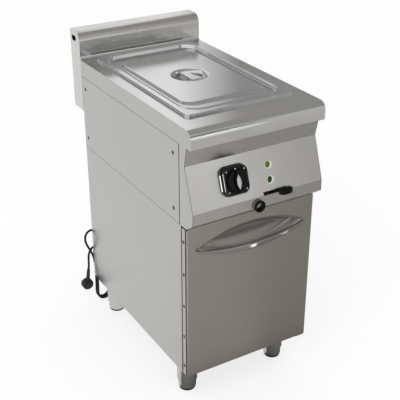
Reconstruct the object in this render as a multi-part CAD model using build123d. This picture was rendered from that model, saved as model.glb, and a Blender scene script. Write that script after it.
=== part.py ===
from build123d import *
import math
import os

os.makedirs("parts", exist_ok=True)

# A floor-standing electric bain-marie: a heated water tank for one full-size gastronorm pan, set in a
# worktop over a cabinet with one door. Sizes are in millimetres. While the pieces are modelled, X runs
# right from the middle, Y back from the worktop's nose and Z up from the floor. The last lines move the
# origin to the middle of the footprint.

# Overall sizes
width = 400.0
depth = 700.0
worktop_z = 850.0
overall_z = 930.0
splash_y = 636.0
joint_z = 580.0
cabinet_z = 112.0
half = width / 2

# Sheet metal
top_gauge = 1.5
panel_gauge = 1.2
drawn_gauge = 1.0
bend_r = 2.0
fit_gap = 0.2
return_width = 14.0

# Worktop
skirt = 48.0
nose_r = 22.0
nose_return = 22.0
cove_r = 10.0
upstand = 38.0
nose_z = worktop_z - skirt
upstand_z = worktop_z + upstand

# Splash box
splash_top_r = 27.0
splash_bottom_z = 692.0
end_slot_length = 28.0
end_slot_width = 16.0
end_slot_inset = 25.0
end_slot_drop = 24.0

# Gastronorm pan, lid and well
gn_length = 530.0
gn_width = 325.0
gn_corner = 12.0
gn_rim = 12.5
pan_corner = 50.0
pan_depth = 150.0
pan_draft = 3.0
pan_bottom_r = 22.0
pan_lip = 4.0
lid_lip = 3.0
lid_valley_inset = 15.0
lid_valley_corner = 47.0
lid_valley_depth = 8.0
plateau_width = 256.0
plateau_length = 392.0
plateau_corner = 18.0
plateau_rise = 6.0
plateau_slope = 55.0
grip_width = 22.0
grip_span = 80.0
grip_margin = 1.5
dish_draft = 5.0
dish_brim = 12.0
dish_depth = 21.0
dish_floor_r = math.hypot(grip_span / 2, grip_width / 2) + grip_margin
dish_wall_r = dish_floor_r + dish_draft
dish_r = dish_wall_r + dish_brim
grip_gauge = 2.0
grip_drop = 2.0
well_set_back = 32.0
well_y = splash_y / 2 + well_set_back
well_clearance = 4.0
tank_flange = 10.0
tank_depth = 210.0
tank_floor_z = worktop_z - tank_depth
tank_bottom_r = 15.0

# False bottom, heater and bulb in the tank
false_bottom_rise = 50.0
false_margin_x = 22.0
false_margin_y = 32.0
perforation_r = 8.0
perforation_rows = 8
perforation_columns = 5
heater_r = 4.25
heater_rise = 22.0
heater_bend = 30.0
heater_half_width = 110.0
heater_inner_x = 38.0
heater_leg_x = 26.0
heater_front_margin = 40.0
heater_rear_margin = 50.0
heater_flange_gauge = 4.0
heater_stub = 18.0
bulb_r = 3.25
bulb_length = 100.0
bulb_rise = 12.0
capillary_r = 1.0

# Control panel, seen from the side
brow_gap = 0.5
recess_y = 34.7
recess_z = 747.6
lip_y = -5.3
lip_top_z = 632.6
lip_bottom_z = 601.0
under_y = 24.5
under_flange = 24.0
cheek_rear_y = 57.0
cheek_gap = 5.0

# Thermostat and its knob
knob_x = -68.0
knob_z = 689.2
bezel_size = 79.0
bezel_corner = 20.0
bezel_height = 16.5
bezel_edge_r = 6.0
bezel_screw_offset = 26.0
bezel_screw_r = 2.2
bezel_screw_depth = 1.2
knob_r = 29.0
knob_skirt = 3.5
knob_grip_length = 56.0
knob_grip_width = 21.0
knob_grip_height = 6.5
knob_gap = 0.5
insert_length = 47.0
insert_width = 15.0
insert_gauge = 1.2
shaft_r = 3.0
running_gap = 0.05
thermostat_width = 44.0
thermostat_height = 36.0
thermostat_depth = 24.0

# Signal lamps
lamp_x = 40.0
amber_z = 705.0
green_z = 667.5
lamp_lens_r = 7.5
lamp_body_r = 6.0
lamp_body_length = 25.0

# Drain line
pipe_r = 13.5
pipe_bore_r = 10.5
pipe_bend = 20.0
outlet_x = -2.0
outlet_z = 608.0
outlet_reach = 12.0
outlet_bend = 15.0
outlet_collar_r = 15.6
outlet_collar_length = 8.0
drain_x = 90.0
drain_y = 130.0
valve_x = 31.0
valve_set_back = 18.0
valve_r = 13.9
valve_length = 32.0
ball_r = 12.0
ball_bore_r = 9.0
ball_gap = 0.15
stem_r = 5.0
stem_top_r = 4.0
valve_boss_r = 8.0
valve_boss_top_z = 632.0
lever_z = 636.5
lever_angle = 55.0
lever_width = 8.0
lever_gauge = 3.0
lever_length = 45.0
lever_slot_length = 52.6
lever_slot_height = 6.6
lever_slot_shift = 7.6
lever_grip_height = 12.0
lever_grip_edge_r = 2.0
# Outline of the cranked grip, from above: along the arm, across it, and the corner's radius
lever_grip_corners = [
    (35.0, -3.0, 3.0), (61.0, 16.0, 5.0), (69.0, 10.5, 5.0), (68.0, 2.5, 8.0),
    (58.5, -9.3, 10.0), (44.5, -14.7, 8.0), (34.0, -10.0, 3.0),
]

# Base cabinet
cabinet_front_y = 54.5
front_return = 20.0
floor_flange = 22.0
rail_height = 25.0
rail_depth = 24.0

# Door
door_front_y = 24.0
door_bottom_gap = 2.0
door_top_gap = 6.0
door_top_z = joint_z - door_top_gap
door_rear_y = 51.5
skin_inset = 1.5
skin_depth = 4.2
skin_hem = 12.5
skin_rise = 4.0
frame_inset = 0.5
frame_corner = 4.0
frame_flange = 14.0
handle_drop = 64.0
handle_z = door_top_z - handle_drop
recess_half = 166.0
recess_up = 37.0
recess_down = 40.0
recess_depth = 22.0
recess_draft_x = 36.0
recess_draft_up = 14.0
recess_draft_down = 10.0
bow_half = 170.0
bow_sag = 20.5
bow_drop = 3.0
bow_reach = 10.0
bow_thick = 18.0
bow_deep = 13.0
bow_tip_thick = 12.0
bow_tip_deep = 8.0
bow_boss_r = 3.0

# Door hinges and catch
hinge_inset = 8.5
hinge_y = 34.5
hinge_pin_r = 3.0
hinge_pin_length = 20.0
hinge_bush_r = 5.0
hinge_bush_length = 16.0
bracket_gauge = 2.5
bracket_width = 26.0
collar_height = 1.7
catch_inset = 53.0
catch_x = -half + catch_inset
catch_width = 46.0
catch_height = 14.0
catch_depth = 14.0
strike_gauge = 2.5
strike_gap = 0.4

# Screws
screw_head_r = 3.5
screw_head_height = 1.0
screw_shank_r = 1.9
screw_length = 9.0
screw_hole_r = 2.1
side_screw_front = 26.5
side_screw_rear = 23.0
side_screw_low = 32.5
side_screw_high = 35.5
door_screw_set_back = 17.0
door_screw_low = 28.0
door_screw_high = 39.0
door_screw_count = 5

# Legs and feet
leg_inset = 50.0
leg_front_inset = 59.5
leg_rear_inset = 55.0
leg_x = half - leg_inset
leg_front_y = cabinet_front_y + leg_front_inset
leg_rear_y = splash_y - leg_rear_inset
leg_r = 29.5
leg_wall = 2.3
leg_bottom_z = 33.0
leg_plate = 84.0
leg_plate_gauge = 3.0
leg_nut_z = 56.0
leg_nut_height = 12.0
foot_r = 26.0
foot_wall = 4.0
foot_edge_r = 4.0
stud_r = 8.0
stud_top_z = 100.0
pad_r = 24.0
pad_height = 5.0

# Supply cord
cord_r = 3.5
cord_set_back = 14.0
cord_y = splash_y + cord_set_back
gland_inset = 60.0
gland_x = -half + gland_inset
gland_z = 276.0
gland_r = 8.0
gland_flange_r = 13.0
hank_inset = 34.0
hank_x = -half + hank_inset
hank_half_width = 21.0
hank_bundle_r = 7.5
hank_bottom_z = 8.6
hank_top_z = 215.0
plug_r = 18.5
plug_depth = 22.0
plug_outside = 22.0
plug_z = 78.0
plug_centre = Vector(-half - plug_outside, cord_y, plug_z)
plug_pin_r = 2.4
plug_pin_length = 19.0
plug_pin_spacing = 19.0
relief_r = 6.0
terminal_width = 60.0
terminal_depth = 22.0
terminal_height = 30.0
terminal_z = 330.0
terminal_ways = 5

# The cord's route: shares of its swing past the left side, of its bow to the front or back, and of its drop
cord_swing = 21.5
cord_bow = 5.0
cord_drop = 140.0
cord_shares = [
    (-0.65, 0.0, 0.0),
    (0.14, 0.0, 0.0),
    (0.79, 0.2, 0.075),
    (1.0, 0.5, 0.21),
    (0.745, 0.8, 0.365),
    (0.28, 1.0, 0.51),
    (-0.09, 1.0, 0.66),
    (-0.3, 0.6, 0.83),
    (-0.42, 0.0, 1.0),
]
cord_route = [
    (-half - out * cord_swing, cord_y - bow * cord_bow, gland_z - down * cord_drop)
    for out, bow, down in cord_shares
]
tail_swing = 14.9
tail_start_drop = 6.0
tail_drop = 77.0
tail_shares = [
    (-1.28, 0.4, 0.0),
    (-0.27, 1.0, 0.03),
    (0.47, 1.0, 0.21),
    (0.77, 0.5, 0.48),
    (0.825, 0.0, 0.74),
    (1.0, 0.0, 1.0),
]
tail_route = [
    (-half - out * tail_swing, cord_y + bow * cord_bow, hank_top_z - tail_start_drop - down * tail_drop)
    for out, bow, down in tail_shares
]

parts = {}


# Helpers for folded sheet, rounded slabs and swept tubes

def offset_line(points, distance):
    """Line parallel to an open polyline, moved to its right, with mitred corners."""
    normals = []
    for (x0, y0), (x1, y1) in zip(points, points[1:]):
        length = math.hypot(x1 - x0, y1 - y0)
        normals.append(((y1 - y0) / length, (x0 - x1) / length))
    moved = [(points[0][0] + normals[0][0] * distance, points[0][1] + normals[0][1] * distance)]
    for (x, y), (ax, ay), (bx, by) in zip(points[1:], normals, normals[1:]):
        share = distance / (1 + ax * bx + ay * by)
        moved.append((x + (ax + bx) * share, y + (ay + by) * share))
    moved.append((points[-1][0] + normals[-1][0] * distance, points[-1][1] + normals[-1][1] * distance))
    return moved


def folded(points, gauge, radii):
    """Section of a folded sheet. The points run along its visible side, the metal is on their right."""
    far = offset_line(points, gauge)
    far_radii = []
    for before, here, after, radius in zip(points, points[1:], points[2:], radii):
        turn = (here[0] - before[0]) * (after[1] - here[1]) - (here[1] - before[1]) * (after[0] - here[0])
        far_radii.append(radius + gauge if turn > 0 else radius - gauge)
    near_line = FilletPolyline(*points, radius=radii)
    far_line = FilletPolyline(*far, radius=far_radii)
    ends = [Line(points[0], far[0]), Line(points[-1], far[-1])]
    return make_face(near_line.edges() + far_line.edges() + [line.edge() for line in ends])


def across(section, x0, x1):
    """Extrude a section drawn in Y and Z from x0 to x1."""
    return extrude(Plane.YZ.offset(x0) * section, amount=x1 - x0)


def upright(section, z0, z1):
    """Extrude a section drawn in X and Y from z0 to z1."""
    return extrude(Plane.XY.offset(z0) * section, amount=z1 - z0)


def slab(x0, x1, y0, y1, z0, z1):
    """Plain rectangular block between two corners."""
    return Pos((x0 + x1) / 2, (y0 + y1) / 2, (z0 + z1) / 2) * Box(x1 - x0, y1 - y0, z1 - z0)


def well_outline(size_x, size_y, corner):
    """Rounded rectangle centred on the well."""
    return Pos(0, well_y) * RectangleRounded(size_x, size_y, corner)


def rod(start, end, radius, end_radius=None):
    """Round bar, or a cone where the far end has its own radius, between two points."""
    start = Vector(*start)
    along = Vector(*end) - start
    plane = Plane(origin=start, z_dir=along)
    if end_radius is None:
        return extrude(plane * Circle(radius), amount=along.length)
    return loft([plane * Circle(radius), plane.offset(along.length) * Circle(end_radius)])


def tube(path, radius, bore=None):
    """Round bar, or a pipe where it has a bore, along a path of straight runs and arcs."""
    start = Plane(origin=path @ 0, z_dir=path % 0)
    solid = sweep(start * Circle(radius), path=path)
    if bore is None:
        return solid
    return solid - sweep(start * Circle(bore), path=path)


def domed(side, radius, edge_z, top_z):
    """Turned piece whose side ends in a round edge under a part of a sphere."""
    rise = top_z - edge_z
    sphere_r = (radius ** 2 + rise ** 2) / (2 * rise)
    middle = math.asin(radius / sphere_r) / 2
    centre_z = top_z - sphere_r
    wall = Polyline(*side, (radius, edge_z))
    crown = ThreePointArc(
        (radius, edge_z),
        (sphere_r * math.sin(middle), centre_z + sphere_r * math.cos(middle)),
        (0, top_z),
    )
    axis_line = Line((0, top_z), side[0])
    profile = make_face(wall.edges() + [crown.edge(), axis_line.edge()])
    return revolve(Plane.XZ * profile, axis=Axis.Z)


def mirrored(shape):
    """The same piece on the other side of the middle."""
    return mirror(shape, about=Plane.YZ)


def pair(name, left):
    """Keep a left-hand piece and its right-hand mirror as two nodes."""
    parts[name + "_left"] = left
    parts[name + "_right"] = mirrored(left)


def only_solid(shape):
    """One closed solid out of a boolean result."""
    return shape.solids()[0] if len(shape.solids()) == 1 else shape


# Worktop: one folded sheet, with a plate welded under each side edge

top_section = folded(
    [(nose_return, nose_z), (0, nose_z), (0, worktop_z), (splash_y, worktop_z), (splash_y, upstand_z)],
    top_gauge,
    [bend_r, nose_r, cove_r],
)
skirt_outline = make_face(
    FilletPolyline(
        (0, nose_z), (0, worktop_z), (splash_y, worktop_z), (splash_y, nose_z),
        radius=[bend_r, nose_r, 0, 0], close=True,
    )
)
opening_width = gn_width - 2 * gn_rim + 2 * well_clearance
opening_length = gn_length - 2 * gn_rim + 2 * well_clearance
opening_corner = pan_corner + well_clearance
opening = well_outline(opening_width, opening_length, opening_corner)
worktop = across(top_section, -half, half)
worktop += across(skirt_outline, -half, -half + top_gauge)
worktop += across(skirt_outline, half - top_gauge, half)
worktop -= upright(opening, worktop_z - 2 * top_gauge, worktop_z + top_gauge)
inner_half = half - top_gauge
for end_x in (-half, inner_half):
    worktop -= slab(end_x, end_x + top_gauge, splash_y, depth, worktop_z, overall_z)
parts["worktop"] = worktop

# Splash box behind the upstand, closed by an end plate on each side

splash_corners = [(splash_y, overall_z), (depth, overall_z), (depth, splash_bottom_z)]
splash_section = folded(
    [(splash_y, upstand_z)] + splash_corners + [(splash_y, splash_bottom_z)],
    top_gauge,
    [splash_top_r, bend_r + 1, bend_r + 1],
)
parts["splash_box"] = across(splash_section, -inner_half, inner_half)
end_outline = make_face(
    FilletPolyline(
        (splash_y, splash_bottom_z), *splash_corners,
        radius=[0, splash_top_r, bend_r + 1, bend_r + 1], close=True,
    )
)
end_slot_place = Pos(depth - end_slot_inset, overall_z - end_slot_drop)
end_outline -= end_slot_place * SlotOverall(end_slot_length, end_slot_width)
pair("splash_end", across(end_outline, -half, -inner_half))

# Screws: low domed heads outside a sheet, with a rivet nut behind it

def screw(y, z, face_x, gauge):
    """Screw in a sheet whose outside is at -face_x, with its nut against the inside."""
    plane = Plane(origin=(-face_x, y, z), x_dir=(0, 1, 0), z_dir=(-1, 0, 0))
    dome = domed([(0, 0), (screw_head_r, 0)], screw_head_r, screw_head_height * 0.4, screw_head_height)
    solid = Pos(0, 0, -screw_length / 2) * Cylinder(screw_shank_r, screw_length) + dome
    nut_height = screw_length - gauge - 1
    solid += Pos(0, 0, -gauge - nut_height / 2) * Cylinder(screw_head_r, nut_height)
    return plane.location * solid


def screw_holes(places, face_x, gauge):
    """Clearance holes for screws through a sheet at -face_x."""
    drills = [
        rod((-face_x - gauge, y, z), (-face_x + 2 * gauge, y, z), screw_hole_r)
        for y, z in places
    ]
    return Part() + drills


# Upper unit: side panels, back and the tray that divides it from the cabinet

side_front_y = cheek_rear_y + cheek_gap
tray_gauge = top_gauge
tray_z = joint_z - tray_gauge
side_section = folded(
    [
        (-half + return_width, side_front_y),
        (-half, side_front_y),
        (-half, splash_y),
        (-half + return_width, splash_y),
    ],
    panel_gauge,
    [bend_r, bend_r],
)
side_screw_y = (side_front_y + side_screw_front, splash_y - side_screw_rear)
side_screw_z = (joint_z + side_screw_low, nose_z - side_screw_high)
side_screws = [(y, z) for y in side_screw_y for z in side_screw_z]
side_panel = upright(side_section, joint_z, nose_z) - screw_holes(side_screws, half, panel_gauge)
pair("side_panel", side_panel)
left_screws = [screw(y, z, half, panel_gauge) for y, z in side_screws]
parts["side_screws"] = Compound(left_screws + [mirrored(solid) for solid in left_screws])

back_y = splash_y - panel_gauge
back_half = half - bend_r
parts["upper_back"] = slab(
    -back_half, back_half, back_y - panel_gauge, back_y, joint_z, worktop_z - top_gauge - fit_gap
)
tray_half = half - panel_gauge / 2
tray_front_y = under_y + bend_r
parts["divider_tray"] = slab(-tray_half, tray_half, tray_front_y, splash_y, tray_z, joint_z)

# Control panel: one folded sheet between two cheeks

brow_y = nose_return + brow_gap
panel_front = [
    (under_y, joint_z),
    (lip_y, lip_bottom_z),
    (lip_y, lip_top_z),
    (recess_y, recess_z),
    (brow_y, nose_z),
]
panel_section = folded(
    [(under_y + under_flange, joint_z)] + panel_front + [(brow_y + return_width, nose_z)],
    panel_gauge,
    [bend_r] * len(panel_front),
)
panel_slope = math.atan2(recess_y - lip_y, recess_z - lip_top_z)
panel_normal = Vector(0, -math.cos(panel_slope), math.sin(panel_slope))


def on_panel(x, z):
    """Plane on the sloping face at a place given by X and Z, looking out of the panel."""
    y = lip_y + (z - lip_top_z) * math.tan(panel_slope)
    return Plane(origin=(x, y, z), x_dir=(1, 0, 0), z_dir=panel_normal)


valve_y = on_panel(valve_x, lever_z).origin.Y + valve_set_back
thermostat_bush_r = shaft_r + 2.5
control_panel = across(panel_section, -inner_half, inner_half)
knob_plane = on_panel(knob_x, knob_z)
control_panel -= knob_plane.location * Cylinder(thermostat_bush_r + fit_gap, 4 * panel_gauge)
for lamp_z in (amber_z, green_z):
    control_panel -= on_panel(lamp_x, lamp_z).location * Cylinder(lamp_body_r + fit_gap, 4 * panel_gauge)
slot_plane = on_panel(valve_x + lever_slot_shift, lever_z)
lever_slot = SlotOverall(lever_slot_length, lever_slot_height)
control_panel -= extrude(slot_plane * lever_slot, amount=4 * panel_gauge, both=True)
outlet_hole_r = pipe_r + 6 * fit_gap
control_panel -= rod((outlet_x, lip_y - pipe_r, outlet_z), (outlet_x, valve_y, outlet_z), outlet_hole_r)
parts["control_panel"] = control_panel

cheek_outline = make_face(Polyline((cheek_rear_y, joint_z), *panel_front, (cheek_rear_y, nose_z), close=True))
pair("control_cheek", across(cheek_outline, -half, -inner_half))

# Thermostat: body behind the panel, shaft, bezel, knob and its insert

knob_base = bezel_height + knob_gap
bush_top = bezel_height / 2
flange_gap = 1.8
body_top = -panel_gauge - flange_gap
thermostat = Pos(0, 0, body_top - thermostat_depth / 2) * Box(
    thermostat_width, thermostat_height, thermostat_depth
)
thermostat += Pos(0, 0, body_top / 2 + bush_top / 2) * Cylinder(thermostat_bush_r, bush_top - body_top)
thermostat += Pos(0, 0, body_top + flange_gap / 2) * Cylinder(thermostat_bush_r + 4, flange_gap)
thermostat -= Pos(0, 0, body_top) * Cylinder(shaft_r + running_gap, 2 * thermostat_depth)
parts["thermostat_body"] = knob_plane.location * thermostat

bezel = extrude(RectangleRounded(bezel_size, bezel_size, bezel_corner), amount=bezel_height)
bezel = fillet(bezel.faces().sort_by(Axis.Z)[-1].edges(), bezel_edge_r)
bezel -= Pos(0, 0, bezel_height / 2) * Cylinder(thermostat_bush_r + fit_gap, 2 * bezel_height)
screw_seat = Cylinder(bezel_screw_r, 2 * bezel_screw_depth)
for place in GridLocations(2 * bezel_screw_offset, 2 * bezel_screw_offset, 2, 2):
    bezel -= Pos(0, 0, bezel_height) * place * screw_seat
parts["knob_bezel"] = knob_plane.location * bezel

grip_top = knob_base + knob_skirt + knob_grip_height
knob = Pos(0, 0, knob_base + knob_skirt / 2) * Cylinder(knob_r, knob_skirt)
knob = fillet(knob.edges().group_by(Axis.Z)[-1], bend_r)
grip_outline = Rot(0, 0, 90) * SlotOverall(knob_grip_length, knob_grip_width)
grip_foot = knob_base + knob_skirt / 2
grip = extrude(Plane.XY.offset(grip_foot) * grip_outline, amount=grip_top - grip_foot)
grip = fillet(grip.faces().sort_by(Axis.Z)[-1].edges(), bend_r)
shaft_top = knob_base + knob_skirt + 4
shaft_bottom = body_top - thermostat_depth + 3
knob += grip
knob -= Pos(0, 0, (knob_base + shaft_top) / 2) * Cylinder(shaft_r, shaft_top - knob_base)
parts["thermostat_knob"] = knob_plane.location * knob
knob_face = grip.faces().sort_by(Axis.Z)[-1].center().Z
insert_outline = Rot(0, 0, 90) * SlotOverall(insert_length, insert_width)
insert = extrude(Plane.XY.offset(knob_face) * insert_outline, amount=insert_gauge)
parts["knob_insert"] = knob_plane.location * insert
shaft_length = shaft_top - shaft_bottom
shaft = Pos(0, 0, (shaft_top + shaft_bottom) / 2) * Cylinder(shaft_r, shaft_length)
parts["thermostat_shaft"] = knob_plane.location * shaft

# Signal lamps: a domed lens with a round body through the panel

lens_edge = 2.0
lens_height = 5.0
lamp_side = [
    (0, -lamp_body_length), (lamp_body_r, -lamp_body_length), (lamp_body_r, 0), (lamp_lens_r, 0),
]
lamp = domed(lamp_side, lamp_lens_r, lens_edge, lens_height)
parts["lamp_amber"] = on_panel(lamp_x, amber_z).location * lamp
parts["lamp_green"] = on_panel(lamp_x, green_z).location * lamp

# Water tank: welded under the worktop's opening, with its floor over the drain

tank_wall = top_gauge
tank_top = worktop_z - top_gauge


def well_block(grow, z0, z1, corner_r):
    """Block as wide as the opening plus a margin, with its lower edge rounded."""
    outline = well_outline(opening_width + 2 * grow, opening_length + 2 * grow, opening_corner + grow)
    block = upright(outline, z0, z1)
    return fillet(block.faces().sort_by(Axis.Z)[0].edges(), corner_r)


tank_flange_grow = tank_wall + tank_flange
flange_outline = well_outline(
    opening_width + 2 * tank_flange_grow,
    opening_length + 2 * tank_flange_grow,
    opening_corner + tank_flange_grow,
)
water_tank = well_block(tank_wall, tank_floor_z, tank_top, tank_bottom_r)
water_tank += upright(flange_outline, tank_top - tank_wall, tank_top)
water_tank -= well_block(0, tank_floor_z + tank_wall, tank_top + 1, tank_bottom_r - tank_wall)
tank_front_y = well_y - opening_length / 2 - tank_wall
heater_z = tank_floor_z + heater_rise
bulb_z = tank_floor_z + bulb_rise
heater_hole_r = heater_r + 2 * fit_gap
water_tank -= rod((drain_x, drain_y, tank_floor_z - 5), (drain_x, drain_y, tank_floor_z + 5), pipe_bore_r)
for leg in (-heater_leg_x, heater_leg_x):
    water_tank -= rod((leg, tank_front_y - 5, heater_z), (leg, tank_front_y + 5, heater_z), heater_hole_r)
capillary_hole_r = capillary_r + 2 * fit_gap
water_tank -= rod((knob_x, tank_front_y - 5, bulb_z), (knob_x, tank_front_y + 5, bulb_z), capillary_hole_r)
parts["water_tank"] = water_tank

# False bottom: perforated plate on two folded sides, standing on the tank's floor

false_bottom_width = opening_width - 2 * false_margin_x
false_bottom_length = opening_length - 2 * false_margin_y
false_half = false_bottom_width / 2
floor_top = tank_floor_z + tank_wall
false_bottom_z = tank_floor_z + false_bottom_rise
false_section = folded(
    [
        (-false_half, floor_top),
        (-false_half, false_bottom_z),
        (false_half, false_bottom_z),
        (false_half, floor_top),
    ],
    top_gauge,
    [bend_r, bend_r],
)
false_rear_y = well_y + false_bottom_length / 2
false_plane = Plane(origin=(0, false_rear_y, 0), x_dir=(1, 0, 0), z_dir=(0, -1, 0))
false_bottom = extrude(false_plane * false_section, amount=false_bottom_length)
column_pitch = false_bottom_width / (perforation_columns + 0.5)
row_pitch = false_bottom_length / (perforation_rows + 0.5)
perforations = [
    place * Cylinder(perforation_r, 4 * top_gauge)
    for place in GridLocations(column_pitch, row_pitch, perforation_columns, perforation_rows)
]
false_bottom -= Pos(0, well_y, false_bottom_z) * (Part() + perforations)
parts["false_bottom"] = false_bottom

# Heater: a tube bent into three loops, brazed into a flange outside the tank's front wall

heater_front_y = tank_front_y + heater_front_margin
heater_rear_y = well_y + opening_length / 2 - heater_rear_margin
heater_turn_y = heater_front_y + 2 * heater_bend
half_path = [
    (heater_leg_x, tank_front_y - heater_stub),
    (heater_leg_x, heater_front_y),
    (heater_half_width, heater_front_y),
    (heater_half_width, heater_rear_y),
    (heater_inner_x, heater_rear_y),
    (heater_inner_x, heater_turn_y),
]
loop = half_path + [(-x, y) for x, y in reversed(half_path)]
heater_path = FilletPolyline(*[(x, y, heater_z) for x, y in loop], radius=heater_bend)
heater = tube(heater_path, heater_r)
flange_half = heater_leg_x + 3 * heater_r
flange_front_y = tank_front_y - heater_flange_gauge
heater += slab(
    -flange_half, flange_half, flange_front_y, tank_front_y, heater_z - 3 * heater_r, heater_z + 3 * heater_r
)
parts["heater"] = heater

# Bulb on the tank's floor, joined to the thermostat by its capillary

thermostat_rear = knob_plane.offset(body_top - thermostat_depth).origin
bulb_front_y = heater_front_y
capillary_path = FilletPolyline(
    thermostat_rear,
    (knob_x, tank_front_y - 3 * heater_stub / 4, thermostat_rear.Z - 2 * bend_r),
    (knob_x, tank_front_y - heater_stub / 2, bulb_z),
    (knob_x, bulb_front_y, bulb_z),
    radius=3 * bend_r,
)
bulb = rod((knob_x, bulb_front_y, bulb_z), (knob_x, bulb_front_y + bulb_length, bulb_z), bulb_r)
parts["thermostat_bulb"] = bulb + tube(capillary_path, capillary_r)

# Gastronorm pan: drawn body under a flat rim with a turned-down edge

pan_top = worktop_z + pan_lip


def drawn_body(inset):
    """Tapered body of the pan, drawn down from the rim."""
    plane = Plane(origin=(0, well_y, pan_top), x_dir=(1, 0, 0), z_dir=(0, 0, -1))
    outline = RectangleRounded(
        gn_width - 2 * gn_rim - 2 * inset, gn_length - 2 * gn_rim - 2 * inset, pan_corner - inset
    )
    body = extrude(plane * outline, amount=pan_depth - inset, taper=pan_draft)
    return fillet(body.faces().sort_by(Axis.Z)[0].edges(), pan_bottom_r - inset)


def rim_ring(z0, z1, inset):
    """Upright edge of a gastronorm rim."""
    outer = well_outline(gn_width, gn_length, gn_corner)
    inner = well_outline(gn_width - 2 * inset, gn_length - 2 * inset, gn_corner - inset)
    return upright(outer - inner, z0, z1)


gn_pan = upright(well_outline(gn_width, gn_length, gn_corner), pan_top - drawn_gauge, pan_top)
gn_pan += rim_ring(worktop_z, pan_top, drawn_gauge)
gn_pan += drawn_body(0)
gn_pan -= drawn_body(drawn_gauge)
parts["gn_pan"] = gn_pan

# Lid: flat rim, a valley inside the pan's mouth, a raised plateau and a round dish for the hand

lid_top = pan_top + lid_lip
valley_z = lid_top - lid_valley_depth
plateau_z = valley_z + plateau_rise
dish_z = plateau_z - dish_depth


def valley_outline(inset):
    """Edge of the lid's valley."""
    return well_outline(
        gn_width - 2 * lid_valley_inset - 2 * inset,
        gn_length - 2 * lid_valley_inset - 2 * inset,
        lid_valley_corner - inset,
    )


def plateau_block(z0):
    """Raised middle of the lid, with sloping sides."""
    outline = well_outline(plateau_width, plateau_length, plateau_corner)
    return extrude(Plane.XY.offset(z0) * outline, amount=plateau_rise, taper=plateau_slope)


def dish_section():
    """Half section of the dish, from the plateau over a rounded brim to the flat floor."""
    brim = dish_brim
    floor_top_z = dish_z + drawn_gauge
    top = ThreePointArc(
        (dish_r, plateau_z),
        (dish_wall_r + brim * 0.3, plateau_z - brim * 0.3),
        (dish_wall_r, plateau_z - brim),
    )
    wall = Polyline(
        (dish_wall_r, plateau_z - brim), (dish_floor_r, floor_top_z), (0, floor_top_z), (0, dish_z)
    )
    floor_edge = dish_floor_r + drawn_gauge / 2
    brim_under = (dish_wall_r + drawn_gauge, plateau_z - brim - drawn_gauge)
    under = Polyline((0, dish_z), (floor_edge, dish_z), brim_under)
    below = ThreePointArc(
        brim_under,
        (dish_wall_r + brim * 0.3 + drawn_gauge * 0.7, plateau_z - brim * 0.3 - drawn_gauge * 0.7),
        (dish_r, plateau_z - drawn_gauge),
    )
    close = Line((dish_r, plateau_z - drawn_gauge), (dish_r, plateau_z))
    return make_face([top.edge()] + wall.edges() + under.edges() + [below.edge(), close.edge()])


lid_rim = well_outline(gn_width, gn_length, gn_corner) - valley_outline(0)
lid = upright(lid_rim, lid_top - drawn_gauge, lid_top)
lid += rim_ring(pan_top, lid_top, drawn_gauge)
lid += upright(valley_outline(0) - valley_outline(drawn_gauge), valley_z - drawn_gauge, lid_top)
plateau_base = well_outline(plateau_width, plateau_length, plateau_corner)
lid += upright(valley_outline(0), valley_z - drawn_gauge, valley_z)
lid += plateau_block(valley_z)
lid -= plateau_block(valley_z - drawn_gauge * 1.2)
lid -= Pos(0, well_y, plateau_z) * Cylinder(dish_r, 2 * plateau_rise)
lid += Pos(0, well_y, 0) * revolve(Plane.XZ * dish_section(), axis=Axis.Z)
parts["lid"] = lid

# Strap grip across the dish, welded to its floor

strap_z = plateau_z - grip_drop
dish_floor_z = dish_z + drawn_gauge
strap_half = grip_span / 2
strap_section = folded(
    [
        (well_y - strap_half, dish_floor_z),
        (well_y - strap_half, strap_z),
        (well_y + strap_half, strap_z),
        (well_y + strap_half, dish_floor_z),
    ],
    grip_gauge,
    [2 * grip_gauge, 2 * grip_gauge],
)
parts["lid_grip"] = across(strap_section, -grip_width / 2, grip_width / 2)

# Drain: pipe from the tank's floor, ball valve behind the lip, and the outlet stub

valve_end = valve_length / 2
drain_path = FilletPolyline(
    (drain_x, drain_y, tank_floor_z),
    (drain_x, drain_y, outlet_z),
    (drain_x, valve_y, outlet_z),
    (valve_x + valve_end, valve_y, outlet_z),
    radius=pipe_bend,
)
parts["drain_pipe"] = tube(drain_path, pipe_r, pipe_bore_r)

valve_body = rod(
    (valve_x - valve_end, valve_y, outlet_z), (valve_x + valve_end, valve_y, outlet_z), valve_r
)
valve_body += rod((valve_x, valve_y, outlet_z), (valve_x, valve_y, valve_boss_top_z), valve_boss_r)
valve_body -= Pos(valve_x, valve_y, outlet_z) * Sphere(ball_r + ball_gap)
valve_body -= rod(
    (valve_x - valve_length, valve_y, outlet_z), (valve_x + valve_length, valve_y, outlet_z), ball_bore_r
)
valve_body -= rod((valve_x, valve_y, outlet_z), (valve_x, valve_y, worktop_z), stem_r + running_gap)
parts["valve_body"] = valve_body

lever_bottom = lever_z - lever_gauge / 2
lever_top = lever_z + lever_gauge / 2
ball = Pos(valve_x, valve_y, outlet_z) * Sphere(ball_r)
ball += rod((valve_x, valve_y, outlet_z), (valve_x, valve_y, lever_bottom), stem_r)
ball += rod((valve_x, valve_y, outlet_z), (valve_x, valve_y, lever_top + lever_gauge), stem_top_r)
ball -= rod((valve_x, valve_y - valve_r, outlet_z), (valve_x, valve_y + valve_r, outlet_z), ball_bore_r)
parts["valve_ball"] = ball

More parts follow.
